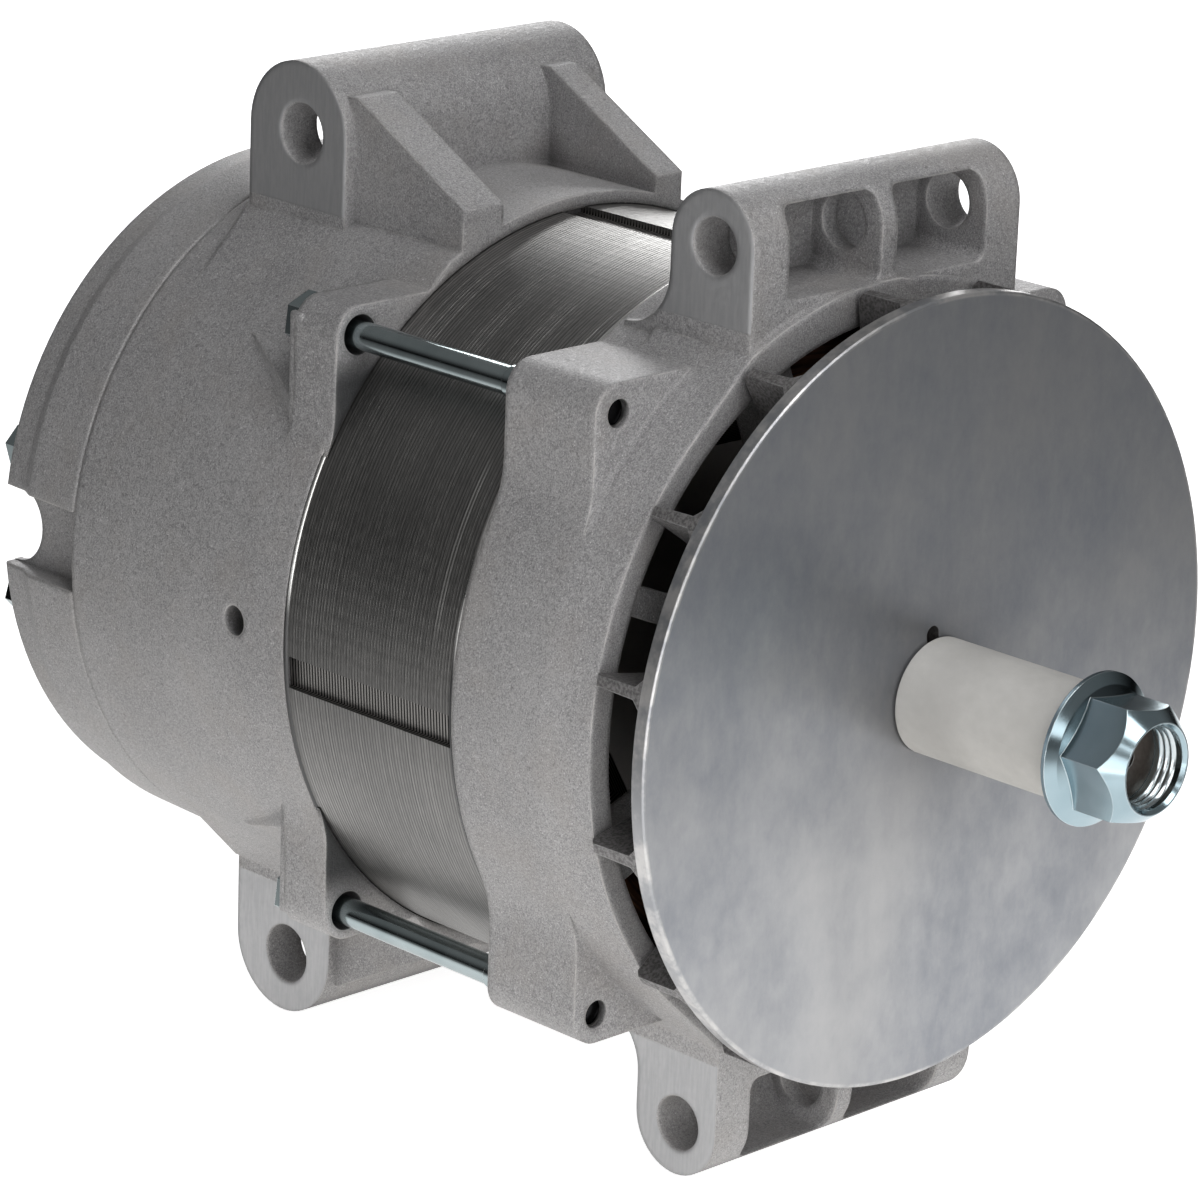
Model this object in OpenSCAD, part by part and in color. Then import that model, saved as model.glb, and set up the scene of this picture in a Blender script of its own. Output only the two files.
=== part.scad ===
// Heavy-duty engine alternator with four through lugs, supplied without a pulley.
// Frame: the shaft axis is Y, the drive end points to -Y, +Z is up.
// Origin: on the shaft axis, at the front face of the fan disc, where a pulley seats.

/* [Fan] */
// Radius of the fan disc
fan_r = 95; // [88:0.5:100]
// Thickness of the fan disc
fan_disc_t = 3.6; // [2.5:0.1:6]
// Number of blades
fan_blades = 15; // [9:1:20]
// Axial length of a blade behind the disc
blade_len = 15; // [11:0.5:19]
// Thickness of a blade
blade_t = 3; // [2:0.1:5]
// Fillet where a blade meets the disc
blade_fillet = 2; // [0.5:0.1:4]
// Inner radius of the blades
blade_root_r = 56; // [45:1:70]
// Radius of the fan hub
fan_hub_r = 25; // [20:0.5:34]
// Running gap between the blades and the drive housing
fan_gap = 1.4; // [0.8:0.1:4]

/* [Shaft] */
// Radius of the shaft where the pulley, sleeve and fan sit
nose_r = 11.1; // [9:0.1:11.8]
// Radius of the shaft in the drive bearing
bearing_seat_r = 12.5; // [12.2:0.1:14.5]
// Radius of the shaft in the rotor
rotor_seat_r = 15; // [15:0.1:19]
// Radius of the shaft in the rear bearing and slip rings
tail_r = 8.5; // [7:0.1:9.5]
// Length of the shaft nose in front of the fan disc
nose_len = 58; // [54:0.5:64]
// Width of the keys
key_w = 4; // [2.5:0.1:5]
// Height of a key above the shaft
key_rise = 5.6; // [3:0.1:7]

/* [Sleeve and nut] */
// Outer radius of the shipping sleeve
sleeve_r = 14; // [12.6:0.1:15]
// Length of the shipping sleeve
sleeve_len = 48.3; // [42:0.5:50]
// Radius of the nut flange
nut_flange_r = 18.1; // [17:0.1:22]
// Width across the flats of the nut
nut_flats = 26; // [25:0.2:30]
// Overall height of the nut
nut_len = 18.6; // [16:0.2:24]

/* [Drive end housing] */
// How far the drive housing stands out over the stator core
drive_over = 1.2; // [0.3:0.1:5]
// Length of the drive housing
drive_len = 43.5; // [42:0.5:52]
// Draft of the drive housing towards its open front
drive_draft = 1.6; // [0:0.1:3]
// Wall of the drive housing
drive_wall = 6; // [4.5:0.1:8]
// Number of spokes that carry the drive bearing
spokes = 8; // [5:1:12]
// Thickness of a spoke
spoke_t = 7; // [4:0.5:12]
// Height of the corner bosses
corner_len = 29; // [20:0.5:34]
// Radius of a corner boss around its bolt
corner_r = 7.1; // [6.5:0.1:10]

/* [Rear housing] */
// How far the rear housing stands out over the stator core
rear_over = 0.2; // [0.1:0.1:4]
// How much the radius of the rear housing narrows towards the cover
rear_taper = 2.1; // [0.5:0.1:4]
// Length of the rear housing
rear_len = 81.5; // [76:0.5:96]
// Height of the corner flanges that carry the bolt heads
flange_len = 15; // [10:0.5:20]
// How far the corner flanges reach past the round rim
flange_reach = 2; // [0:0.1:3]
// Wall of the rear housing
rear_wall = 7; // [5:0.1:9]
// Distance from the stator to the bearing wall
wall_setback = 24; // [21.5:0.5:30]
// Thickness of the bearing wall
bearing_wall_t = 7; // [5:0.5:10]
// Diameter of the round hole in the side of the rear housing
side_hole_d = 7.4; // [5:0.1:10]
// Distance of the side hole from the stator
side_hole_setback = 18; // [12:0.2:19]

/* [Rear cover] */
// How much the radius of the cover narrows towards its rear edge
cover_taper = 2.8; // [0.6:0.1:4]
// Length of the cover
cover_len = 30.8; // [28:0.1:40]
// Thickness of the cover rim
cover_rim = 5.6; // [4.5:0.1:7]
// Thickness of the cover floor
cover_floor_t = 5; // [3:0.1:7]
// Width of the cable channel in the side of the cover
channel_w = 20.4; // [14:0.2:24]
// Depth of the cable channel
channel_d = 4; // [2:0.1:4.5]

/* [Mounting lugs] */
// Width of the front lugs between their machined faces
front_lug_w = 89.2; // [80:0.1:96]
// Width of the rear lugs between their machined faces
rear_lug_w = 87.2; // [80:0.1:96]
// Height of the lug bores above the stator core
lug_rise = 13.9; // [12.7:0.1:19]
// Distance of the middle of the front lugs behind the front rim
front_lug_setback = 14.4; // [14:0.1:17]
// Distance of the front bores in front of the middle of their lugs
front_bore_shift = 0.7; // [0:0.1:1.5]
// Outer radius of the front lugs
front_lug_r = 13; // [12:0.1:14]
// Diameter of the front lug bores
front_bore_d = 13.4; // [10:0.1:14.5]
// Distance of the middle of the rear lugs behind the stator
rear_lug_setback = 53.6; // [48:0.1:56]
// Distance of the rear bores in front of the middle of their lugs
rear_bore_shift = 1.4; // [0:0.1:2.5]
// Outer radius of the rear lugs
rear_lug_r = 17.5; // [16.5:0.1:19]
// Diameter of the rear lug bores
rear_bore_d = 15; // [12:0.1:18]
// Thickness of the end walls of the cored lugs
lug_end_wall = 11.5; // [8:0.1:14]
// Thickness of the web in the middle of the cored lugs
lug_web = 5; // [3:0.1:8]
// Thickness of the curved roof over the lug windows
lug_roof = 3.7; // [3:0.1:4.5]
// How much the round ends of the lower rear lugs stand in from the upper ones
lower_lug_inset = 2; // [0:0.1:3]
// Thickness of the broad gussets in front of the rear lugs
broad_gusset_t = 13; // [8:0.5:16]
// Thickness of the narrow gussets in front of the rear lugs
narrow_gusset_t = 9; // [6:0.5:12]
// Thickness of the raised bands under the front lugs
front_band_t = 1.3; // [0.6:0.1:3]
// Thickness of the raised bands under the rear lugs and gussets
rear_band_t = 3.1; // [1:0.1:5]

/* [Through bolts] */
// Distance of the bolts from the side of the stator core
bolt_clear = 9.6; // [8.2:0.1:13]
// Angle of the bolts above and below the level of the shaft
bolt_angle = 44.8; // [44:0.1:46]
// Thread diameter of the through bolts
bolt_d = 8; // [6:0.5:9]
// Shank diameter of the through bolts between the housings
bolt_shank_d = 7; // [5:0.1:7.2]
// Width across the flats of the bolt heads
bolt_flats = 12; // [10:0.5:14]
// Diameter of the tapped holes where they open at the front
tap_d = 6.8; // [5:0.1:7.4]

/* [Stator] */
// Outer radius of the stator core
core_r = 92.3; // [86:0.1:100]
// Length of the stator core between the housings
core_len = 59.3; // [54:0.1:66]
// Radial depth of the stator core from its side to its bore
core_depth = 29.8; // [28.5:0.1:32]
// Number of winding slots
slots = 36; // [24:6:42]
// Width of a slot
slot_w = 5; // [3:0.1:5.6]
// Depth of a slot
slot_d = 14; // [10:0.5:15.5]
// Width of the weld grooves along the core
groove_w = 8; // [4:0.2:12]
// Depth of the weld grooves
groove_d = 1.8; // [0.8:0.1:2.4]
// Length of the winding ends beyond the core
winding_reach = 15; // [10:0.5:16]

/* [Rotor] */
// Air gap between rotor and stator
air_gap = 0.5; // [0.4:0.05:1.5]
// Angle by which the rotor stands turned from its key being on top
rotor_turn = 7; // [0:1:30]
// Number of claws on each pole half
claws = 6; // [4:1:8]
// Thickness of the pole discs
pole_disc_t = 13; // [10:0.5:16]
// Radial thickness of the claws
claw_t = 9; // [7:0.5:11]
// Length of the rotor poles
pole_len = 58; // [52:0.5:60]

/* [Bearings] */
// Outer radius of the drive bearing
drive_bearing_r = 31; // [29:0.5:35]
// Width of the drive bearing
drive_bearing_w = 17; // [15:0.5:19]
// Ball radius of the drive bearing
drive_ball_r = 5.5; // [4.5:0.1:6]
// Outer radius of the rear bearing
rear_bearing_r = 23.5; // [21.5:0.5:26]
// Width of the rear bearing
rear_bearing_w = 14; // [12:0.5:15]
// Ball radius of the rear bearing
rear_ball_r = 4.2; // [3.4:0.1:4.6]

/* [Slip rings and brushes] */
// Radius of the slip rings
ring_r = 15; // [13.5:0.1:18]
// Width of a slip ring
ring_w = 8; // [6.5:0.1:9]
// Space between the slip rings
ring_space = 3; // [2:0.1:5]
// Length of a brush
brush_len = 18; // [14:0.5:20]
// Width of a brush across the shaft
brush_w = 8; // [6:0.1:10]

/* [Hidden] */
$fn = 96;
eps = 0.01;
fit = 0.05;
running_gap = 0.3;
seat_gap = 0.02;
key_depth = 3.2;
tap_mouth = 2.4;

// Radii that follow the stator core
core_bore_r = core_r - core_depth;
drive_r = core_r + drive_over;
rear_r = core_r + rear_over;
rear_end_r = rear_r - rear_taper;
cover_r = rear_end_r;
cover_end_r = cover_r - cover_taper;
bolt_x = (core_r + bolt_clear) * cos(bolt_angle);
bolt_z = (core_r + bolt_clear) * sin(bolt_angle);
lug_z = core_r + lug_rise;
lug_foot = 14;
haunch_w = 14;
haunch_h = 24;
haunch_len = 34;

// Stations along the shaft
rim_y = fan_disc_t + blade_len + fan_gap;
drive_end_y = rim_y + drive_len;
stator_end_y = drive_end_y + core_len;
rear_end_y = stator_end_y + rear_len;
cover_end_y = rear_end_y + cover_len;
front_lug_y = rim_y + front_lug_setback;
rear_lug_y = stator_end_y + rear_lug_setback;
corner_y = drive_end_y - corner_len;
flange_y = stator_end_y - flange_reach;
flange_back_y = flange_y + flange_len;
core_register = 3.4;
core_front_y = drive_end_y - core_register;
core_back_y = stator_end_y + core_register;
core_step = 2.8;
core_mid_y = (core_front_y + core_back_y) / 2;
groove_angles = [4.5, 92, 184.5, 272];

// Drive bearing stations
hub_front_y = rim_y + 4;
hub_lip = 3;
drive_bearing_y = hub_front_y + hub_lip;
drive_bearing_back_y = drive_bearing_y + drive_bearing_w;
hub_wall = 7;
drive_hub_r = drive_bearing_r + hub_wall;
spoke_back_y = core_front_y - winding_reach - 6;
retainer_t = 3;
retainer_r = drive_hub_r - 0.5;
retainer_screws = 4;
retainer_screw_r = drive_bearing_r + 3.2;

// Rear bearing stations
wall_y = stator_end_y + wall_setback;
side_hole_z = 0.6;
bolt_head_h = 4.2;
bolt_head_turn = 23;
wall_back_y = wall_y + bearing_wall_t;
rear_bearing_y = wall_y + 4;
rear_bearing_back_y = rear_bearing_y + rear_bearing_w;
rear_lip = 3;
rear_hub_back_y = rear_bearing_back_y + rear_lip;
rear_hub_r = rear_bearing_r + hub_wall;

// Rotor stations
rotor_r = core_bore_r - air_gap;
rotor_y = core_mid_y - pole_len / 2;
rotor_back_y = rotor_y + pole_len;
claw_root_r = rotor_r - claw_t;
coil_core_r = 27;
bobbin_t = 1.6;

// Slip ring stations
rings_y = rear_hub_back_y + 5;
ring_2_y = rings_y + ring_w + ring_space;
rings_end_y = ring_2_y + ring_w;
ring_bore_r = tail_r + 3.2;
tail_end_y = rings_end_y + 4;

// Sleeve and nut stations
nut_y = -sleeve_len - nut_len;
flange_t = 2.6;
nut_thread_r = nose_r - 1.35;

// Cover
cover_floor_y = rear_end_y + 3;
cover_floor_back_y = cover_floor_y + cover_floor_t;
cover_bolt_r = cover_end_r - cover_rim - 2.4;
notch_setback = 0.8;
cover_bolt_d = 6;
cover_bolt_flats = 10;
cover_bolt_reach = 14;
cover_boss_r = 5.4;
cover_bolt_spread = 13.8;
cover_bolt_angles = [180 - cover_bolt_spread, 180 + cover_bolt_spread, -cover_bolt_spread,
                     cover_bolt_spread, 90, 270];
channel_z = 1.6;
channel_floor_x = cover_end_r - channel_d;

// Rectifier
plate_in_r = 38;
plate_out_r = rear_end_r - rear_wall - 4;
plate_t = 4;
plate_sweep = 62;
diode_r = 6.4;
diode_ring_r = plate_out_r - 19.4;
diode_angles = [-38, 0, 38];
lead_angles = [-37, -19, 19];
negative_y = wall_back_y + 4;
positive_y = negative_y + 18;
post_r = 4.5;
winding_mid_r = core_bore_r + 1 + slot_d / 2;
post_ring_r = winding_mid_r + 0.5;
post_angles = [-54, 54];
stud_d = 8;
stud_flats = 13;
terminal_x = 33.4 - plate_out_r;
terminal_z = 43.4 - plate_out_r;
ground_x = -terminal_x;

// Extrudes a side outline, drawn in Y and Z, along X
module across(x0, x1) {
    translate([x0, 0, 0]) rotate([90, 0, 90]) linear_extrude(x1 - x0) children();
}

// Extrudes an end outline, drawn in X and Z, along Y
module along(y0, y1) {
    translate([0, y1, 0]) rotate([90, 0, 0]) linear_extrude(y1 - y0) children();
}

// Turns a half section, drawn in radius and Y, around the shaft
module turned() {
    rotate([-90, 0, 0]) rotate_extrude() children();
}

// A round bar along Y
module bar(r, y0, y1, x = 0, z = 0) {
    translate([x, y0, z]) rotate([-90, 0, 0]) cylinder(r = r, h = y1 - y0);
}

// A round ring along Y
module ring(r_in, r_out, y0, y1) {
    along(y0, y1) difference() {
        circle(r_out);
        circle(r_in);
    }
}

// A hexagon prism along Y
module hex(flats, y0, y1) {
    along(y0, y1) circle(r = flats / 2 / cos(30), $fn = 6);
}

// Places copies on a circle around the shaft, at the given angles from +X towards +Z
module polar(radius, angles) {
    for (a = angles) rotate([0, -a, 0]) translate([radius, 0, 0]) children();
}

// Places a copy at each of the four through bolts
module at_bolts() {
    for (x = [-bolt_x, bolt_x]) for (z = [-bolt_z, bolt_z]) translate([x, 0, z]) children();
}

// Places the upper piece and its mirror below the shaft
module above_and_below() {
    children();
    mirror([0, 0, 1]) children();
}

// A square outline with round corners on the four bolts
module bolt_square(r) {
    square([2 * bolt_x, 2 * (bolt_z + r)], center = true);
    square([2 * (bolt_x + r), 2 * bolt_z], center = true);
    for (x = [-bolt_x, bolt_x]) for (z = [-bolt_z, bolt_z]) translate([x, z]) circle(r);
}

// A rectangle outline with round corners, from corner to corner
module soft_rect(x0, z0, x1, z1, r) {
    translate([x0 + r, z0]) square([x1 - x0 - 2 * r, z1 - z0]);
    translate([x0, z0 + r]) square([x1 - x0, z1 - z0 - 2 * r]);
    for (x = [x0 + r, x1 - r]) for (z = [z0 + r, z1 - r]) translate([x, z]) circle(r);
}

// A bored lug barrel with its block, as a side outline down to the shaft side
module lug_outline(y, r, foot_z, inset) {
    translate([y, lug_z - inset]) circle(r);
    translate([y - r, foot_z]) square([2 * r, lug_z - inset - foot_z]);
}

// The hollow fillet behind a lug, as a side outline
module back_fillet(y, top_z, foot_z) {
    r = 14;
    difference() {
        translate([y - 1, foot_z]) square([r + 1, top_z + r - foot_z]);
        translate([y + r, top_z + r]) circle(r);
    }
}

// The raised band under a lug, with flat flanks that run out on the round body
module lug_band(body_r, end_r, band_t, half, y0, y1, foot_z) {
    edge_x = half + 0.6;
    band_r = body_r + band_t;
    edge_z = sqrt(band_r * band_r - edge_x * edge_x);
    run_out = atan(edge_x / edge_z) + acos(end_r / band_r);
    along(y0, y1) {
        intersection() {
            circle(band_r);
            translate([-edge_x, foot_z]) square([2 * edge_x, band_r]);
        }
        polygon([[-edge_x, edge_z], [edge_x, edge_z], [end_r * sin(run_out), end_r * cos(run_out)],
                 [edge_x, foot_z], [-edge_x, foot_z], [-end_r * sin(run_out), end_r * cos(run_out)]]);
    }
}

// Fills the corners where the flat sides of the bolt square run into the round body
module corner_fillets(body_r) {
    r = 30;
    flat = bolt_x + corner_r;
    reach = body_r + r;
    centre_z = sqrt(reach * reach - (flat + r) * (flat + r));
    meet = [body_r * (flat + r) / reach, body_r * centre_z / reach];
    for (sx = [0, 1]) for (sz = [0, 1]) mirror([sx, 0]) mirror([0, sz]) difference() {
        polygon([[flat - 6, centre_z], [flat, centre_z], meet, [meet[0] - 8, meet[1]]]);
        translate([flat + r, centre_z]) circle(r);
    }
}

// The tapered haunch behind a corner flange, on the shaft side of its bolt head
module haunch() {
    outer_x = bolt_x + corner_r;
    top_z = bolt_z - bolt_flats / 2 - 3.5;
    inner_x = outer_x - haunch_w;
    intersection() {
        along(flange_y + 6, flange_back_y + haunch_len)
            polygon([[inner_x, top_z - haunch_h], [outer_x, top_z - haunch_h], [outer_x, top_z - 9],
                     [inner_x + 3, top_z], [inner_x, top_z]]);
        translate([0, 0, top_z - haunch_h]) linear_extrude(haunch_h)
            polygon([[inner_x, flange_y + 6], [outer_x, flange_y + 6], [outer_x, flange_back_y],
                     [inner_x, flange_back_y + haunch_len]]);
    }
}

// One gusset between a rear lug and the front rim of the rear housing
module gusset(x, t, foot_z, drop) {
    top_z = lug_z + 11 - drop;
    across(x, x + t) polygon([[rear_lug_y, foot_z], [rear_lug_y, top_z],
                              [rear_lug_y - rear_lug_r, top_z], [flange_y, top_z - 20.4],
                              [flange_y, foot_z]]);
}

// One window that cores a lug from its open side, which lies at side * radius
module lug_window(x0, x1, y, r, side, inset) {
    floor_z = lug_z - r + 1;
    centre_z = lug_z - inset;
    core_r = r - lug_roof;
    intersection() {
        across(x0, x1) union() {
            translate([y, centre_z]) circle(core_r);
            translate([y - core_r, floor_z]) square([2 * core_r, centre_z - floor_z]);
            translate([side > 0 ? y : y - r - 4, floor_z]) square([r + 4, core_r + centre_z - floor_z]);
        }
        along(y - r - 4, y + r + 4) soft_rect(x0, floor_z, x1, centre_z + core_r, 3);
    }
}

// Both windows of a lug, either side of its web
module lug_windows(w, y, r, side, inset) {
    inner = w / 2 - lug_end_wall;
    lug_window(-inner, -lug_web / 2, y, r, side, inset);
    lug_window(lug_web / 2, inner, y, r, side, inset);
}

// A lug bore along X with small countersinks at its outer faces
module lug_bore(w, y, d) {
    chamfer = 0.25;
    translate([-w / 2 - 1, y, lug_z]) rotate([0, 90, 0]) cylinder(d = d, h = w + 2);
    for (side = [-1, 1]) translate([side * w / 2, y, lug_z]) rotate([0, side * 90, 0])
        translate([0, 0, -chamfer]) cylinder(d1 = d, d2 = d + 4 * chamfer, h = 2 * chamfer);
}

// Cavity of the drive housing, with the register that locates the stator
module drive_cavity() {
    bar(drive_r - drive_wall - drive_draft, rim_y - 1, core_front_y + eps);
    bar(core_r - core_step + fit, core_front_y, drive_end_y + 1);
}

module drive_end_housing() color("silver") {
    foot_z = drive_r - drive_wall - lug_foot;
    difference() {
        union() {
            turned() polygon([[0, rim_y], [drive_r - drive_draft, rim_y], [drive_r, corner_y],
                              [drive_r, drive_end_y], [0, drive_end_y]]);
            along(corner_y, drive_end_y) union() {
                bolt_square(corner_r);
                corner_fillets(drive_r);
            }
            above_and_below() {
                across(-front_lug_w / 2, front_lug_w / 2) union() {
                    lug_outline(front_lug_y, front_lug_r, foot_z, 0);
                    back_fillet(front_lug_y + front_lug_r, drive_r - 10, foot_z);
                }
                lug_band(drive_r, drive_r - drive_draft, front_band_t, front_lug_w / 2, rim_y,
                         front_lug_y + front_lug_r + 4, foot_z);
            }
        }
        drive_cavity();
        above_and_below() lug_windows(front_lug_w, front_lug_y, front_lug_r, -1, 0);
        above_and_below() lug_bore(front_lug_w, front_lug_y - front_bore_shift, front_bore_d);
        at_bolts() bar(bolt_d / 2 + fit, corner_y + tap_mouth, drive_end_y + 1);
        at_bolts() bar(tap_d / 2, corner_y - 1, drive_end_y + 1);
    }
    difference() {
        union() {
            bar(drive_hub_r, hub_front_y, drive_bearing_back_y);
            for (i = [0:spokes - 1]) rotate([0, (i + 0.5) * 360 / spokes, 0])
                translate([drive_hub_r - 3, hub_front_y, -spoke_t / 2])
                    cube([drive_r - drive_wall - drive_hub_r + 4, spoke_back_y - hub_front_y, spoke_t]);
        }
        bar(drive_bearing_r + fit, drive_bearing_y, drive_bearing_back_y + 1);
        bar(drive_bearing_r - 5, hub_front_y - 1, drive_bearing_y + eps);
        polar(retainer_screw_r, screw_angles()) bar(2.05, drive_bearing_y + 4, drive_bearing_back_y + 1);
    }
}

// Angles of the bearing retainer screws
function screw_angles() = [for (i = [0:retainer_screws - 1]) 45 + i * 360 / retainer_screws];

module rear_housing() color("silver") {
    foot_z = rear_r - rear_wall - lug_foot;
    broad_x = -rear_lug_w / 2 + 3.5;
    narrow_x = 24;
    cavity_r = rear_end_r - rear_wall;
    difference() {
        union() {
            turned() polygon([[0, stator_end_y], [rear_r, stator_end_y], [rear_r, flange_back_y],
                              [rear_end_r, rear_end_y], [0, rear_end_y]]);
            along(flange_y, flange_back_y) union() {
                bolt_square(corner_r);
                corner_fillets(rear_r);
            }
            for (side = [0, 1]) mirror([side, 0, 0]) above_and_below() haunch();
            above_and_below() lug_band(rear_r, rear_end_r, rear_band_t, rear_lug_w / 2, flange_y,
                                       rear_lug_y + rear_lug_r + 0.6, foot_z);
            across(-rear_lug_w / 2, rear_lug_w / 2) lug_outline(rear_lug_y, rear_lug_r, foot_z, 0);
            mirror([0, 0, 1]) across(-rear_lug_w / 2, rear_lug_w / 2)
                lug_outline(rear_lug_y, rear_lug_r, foot_z, lower_lug_inset);
            gusset(broad_x, broad_gusset_t, foot_z, 0);
            gusset(narrow_x, narrow_gusset_t, foot_z, 0);
            mirror([0, 0, 1]) gusset(broad_x, broad_gusset_t, foot_z, 3 * lower_lug_inset);
            mirror([0, 0, 1]) gusset(narrow_x, narrow_gusset_t, foot_z, 3 * lower_lug_inset);
        }
        bar(core_r + 0.3, flange_y - 1, stator_end_y + eps);
        bar(core_r - core_step + fit, stator_end_y - 1, core_back_y);
        bar(rear_r - rear_wall - 1, core_back_y - eps, wall_y);
        bar(cavity_r, wall_back_y, rear_end_y + 1);
        lug_windows(rear_lug_w, rear_lug_y, rear_lug_r, 1, 0);
        mirror([0, 0, 1]) lug_windows(rear_lug_w, rear_lug_y, rear_lug_r, 1, lower_lug_inset);
        above_and_below() lug_bore(rear_lug_w, rear_lug_y - rear_bore_shift, rear_bore_d);
        at_bolts() bar(bolt_d / 2 + 0.9, flange_y - 1, flange_back_y + 1);
        at_bolts() bar(bolt_flats / 2 + 2.5, flange_back_y, flange_back_y + 9);
        bar(rear_bearing_r + fit, wall_y - 1, rear_bearing_back_y);
        translate([0, stator_end_y + side_hole_setback, side_hole_z]) rotate([0, -90, 0])
            cylinder(d = side_hole_d, h = rear_r + 5);
        polar(winding_mid_r, phase_angles()) bar(5, wall_y - 1, wall_back_y + 1);
    }
    difference() {
        union() {
            bar(rear_hub_r, wall_back_y - eps, rear_hub_back_y);
            polar(post_ring_r, post_angles_all()) bar(post_r, wall_back_y - eps, negative_y - seat_gap);
            intersection() {
                bar(cavity_r + 1, wall_back_y - eps, rear_end_y);
                polar(cover_bolt_r, cover_bolt_angles) union() {
                    bar(cover_boss_r, rear_end_y - 22, rear_end_y);
                    translate([0, rear_end_y - 22, -cover_boss_r])
                        cube([rear_end_r - cover_bolt_r, 22, 2 * cover_boss_r]);
                }
            }
        }
        bar(rear_bearing_r + fit, wall_y - 1, rear_bearing_back_y);
        bar(rear_bearing_r - 4, rear_bearing_back_y - eps, rear_hub_back_y + 1);
        polar(post_ring_r, post_angles_all()) bar(2.05, wall_back_y + 1, negative_y + 1);
        polar(cover_bolt_r, cover_bolt_angles)
            bar(cover_bolt_d / 2 + fit, rear_end_y - cover_bolt_reach - 1, rear_end_y + 1);
    }
}

// Angles of the posts under the heat sinks, centred below the shaft
function post_angles_all() = [for (a = post_angles) a - 90];

// Angles of the three phase leads, clear of the diodes and the posts
function phase_angles() = [for (a = lead_angles) a - 90];

module rear_cover() color("silver") {
    inner_r = cover_end_r - cover_rim;
    step_y = rear_end_y + 0.6 * cover_len;
    notch_r = channel_w / 2 - 0.2;
    notch_y = cover_end_y - notch_setback;
    difference() {
        union() {
            turned() polygon([[inner_r - 2, rear_end_y], [cover_r - 0.8, rear_end_y],
                              [cover_r, rear_end_y + 0.8], [cover_r - 0.5, step_y],
                              [cover_end_r + 0.4, step_y + 4], [cover_end_r, cover_end_y - 1],
                              [cover_end_r - 1, cover_end_y], [inner_r, cover_end_y],
                              [inner_r - 2, cover_floor_back_y]]);
            bar(inner_r, cover_floor_y, cover_floor_back_y);
            intersection() {
                bar(inner_r + 1, cover_floor_y, cover_end_y);
                polar(cover_bolt_r, cover_bolt_angles) union() {
                    bar(cover_bolt_flats / 2 + 2.4, cover_floor_y, cover_end_y);
                    translate([0, cover_floor_y, -cover_bolt_flats / 2 - 2.4])
                        cube([cover_rim + 4, cover_end_y - cover_floor_y, cover_bolt_flats + 4.8]);
                }
            }
        }
        translate([-cover_r - 1, rear_end_y - 1, channel_z - channel_w / 2])
            cube([cover_r + 1 - channel_floor_x, cover_len + 2, channel_w]);
        translate([-cover_r - 1, 0, 0]) across(0, cover_rim + 14) union() {
            translate([notch_y, channel_z]) circle(notch_r);
            translate([notch_y, channel_z - notch_r]) square([cover_end_y - notch_y + 1, 2 * notch_r]);
        }
        polar(cover_bolt_r, cover_bolt_angles)
            bar(cover_bolt_d / 2 + 0.3, rear_end_y - 1, cover_end_y + 1);
        bar(stud_d / 2 + 2.5 + fit, cover_floor_y - 1, cover_end_y, terminal_x, terminal_z);
        bar(stud_d / 2 + fit, cover_floor_y - 1, cover_end_y, ground_x, terminal_z);
    }
}

module stator_core() color("dimgray") {
    difference() {
        turned() polygon([[core_bore_r, core_front_y], [core_r - core_step, core_front_y],
                          [core_r - core_step, drive_end_y + seat_gap],
                          [core_r, drive_end_y + seat_gap], [core_r, stator_end_y - seat_gap],
                          [core_r - core_step, stator_end_y - seat_gap],
                          [core_r - core_step, core_back_y - seat_gap],
                          [core_bore_r, core_back_y - seat_gap]]);
        for (i = [0:slots - 1]) rotate([0, i * 360 / slots, 0])
            translate([core_bore_r - 1, core_front_y - 1, -slot_w / 2])
                cube([slot_d + 1, core_back_y - core_front_y + 2, slot_w]);
        for (a = groove_angles) rotate([0, -a, 0])
            translate([core_r - groove_d, drive_end_y - 1, -groove_w / 2])
                cube([groove_d + 2, core_len + 2, groove_w]);
    }
}

module stator_windings() color("peru") {
    slot_clear = 0.4;
    for (i = [0:slots - 1]) rotate([0, i * 360 / slots, 0])
        translate([core_bore_r + 1.5, core_front_y - 2, -slot_w / 2 + slot_clear])
            cube([slot_d - 2, core_back_y - core_front_y + 4, slot_w - 2 * slot_clear]);
    for (end = [[core_front_y - winding_reach, core_front_y - 1],
                [core_back_y + 1, core_back_y + winding_reach]])
        turned() translate([0, (end[0] + end[1]) / 2])
            polygon([for (a = [0:20:340]) [winding_mid_r + (slot_d / 2 + 1) * cos(a),
                                           (end[1] - end[0]) / 2 * sin(a)]]);
}

module through_bolts() color("lightsteelblue") {
    at_bolts() {
        rotate([0, -bolt_head_turn, 0])
            hex(bolt_flats, flange_back_y + seat_gap, flange_back_y + bolt_head_h);
        bar(bolt_shank_d / 2, drive_end_y + 4, flange_back_y + 1);
        bar(bolt_d / 2 - 0.05, corner_y + tap_mouth + seat_gap, drive_end_y + 5);
    }
}

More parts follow.
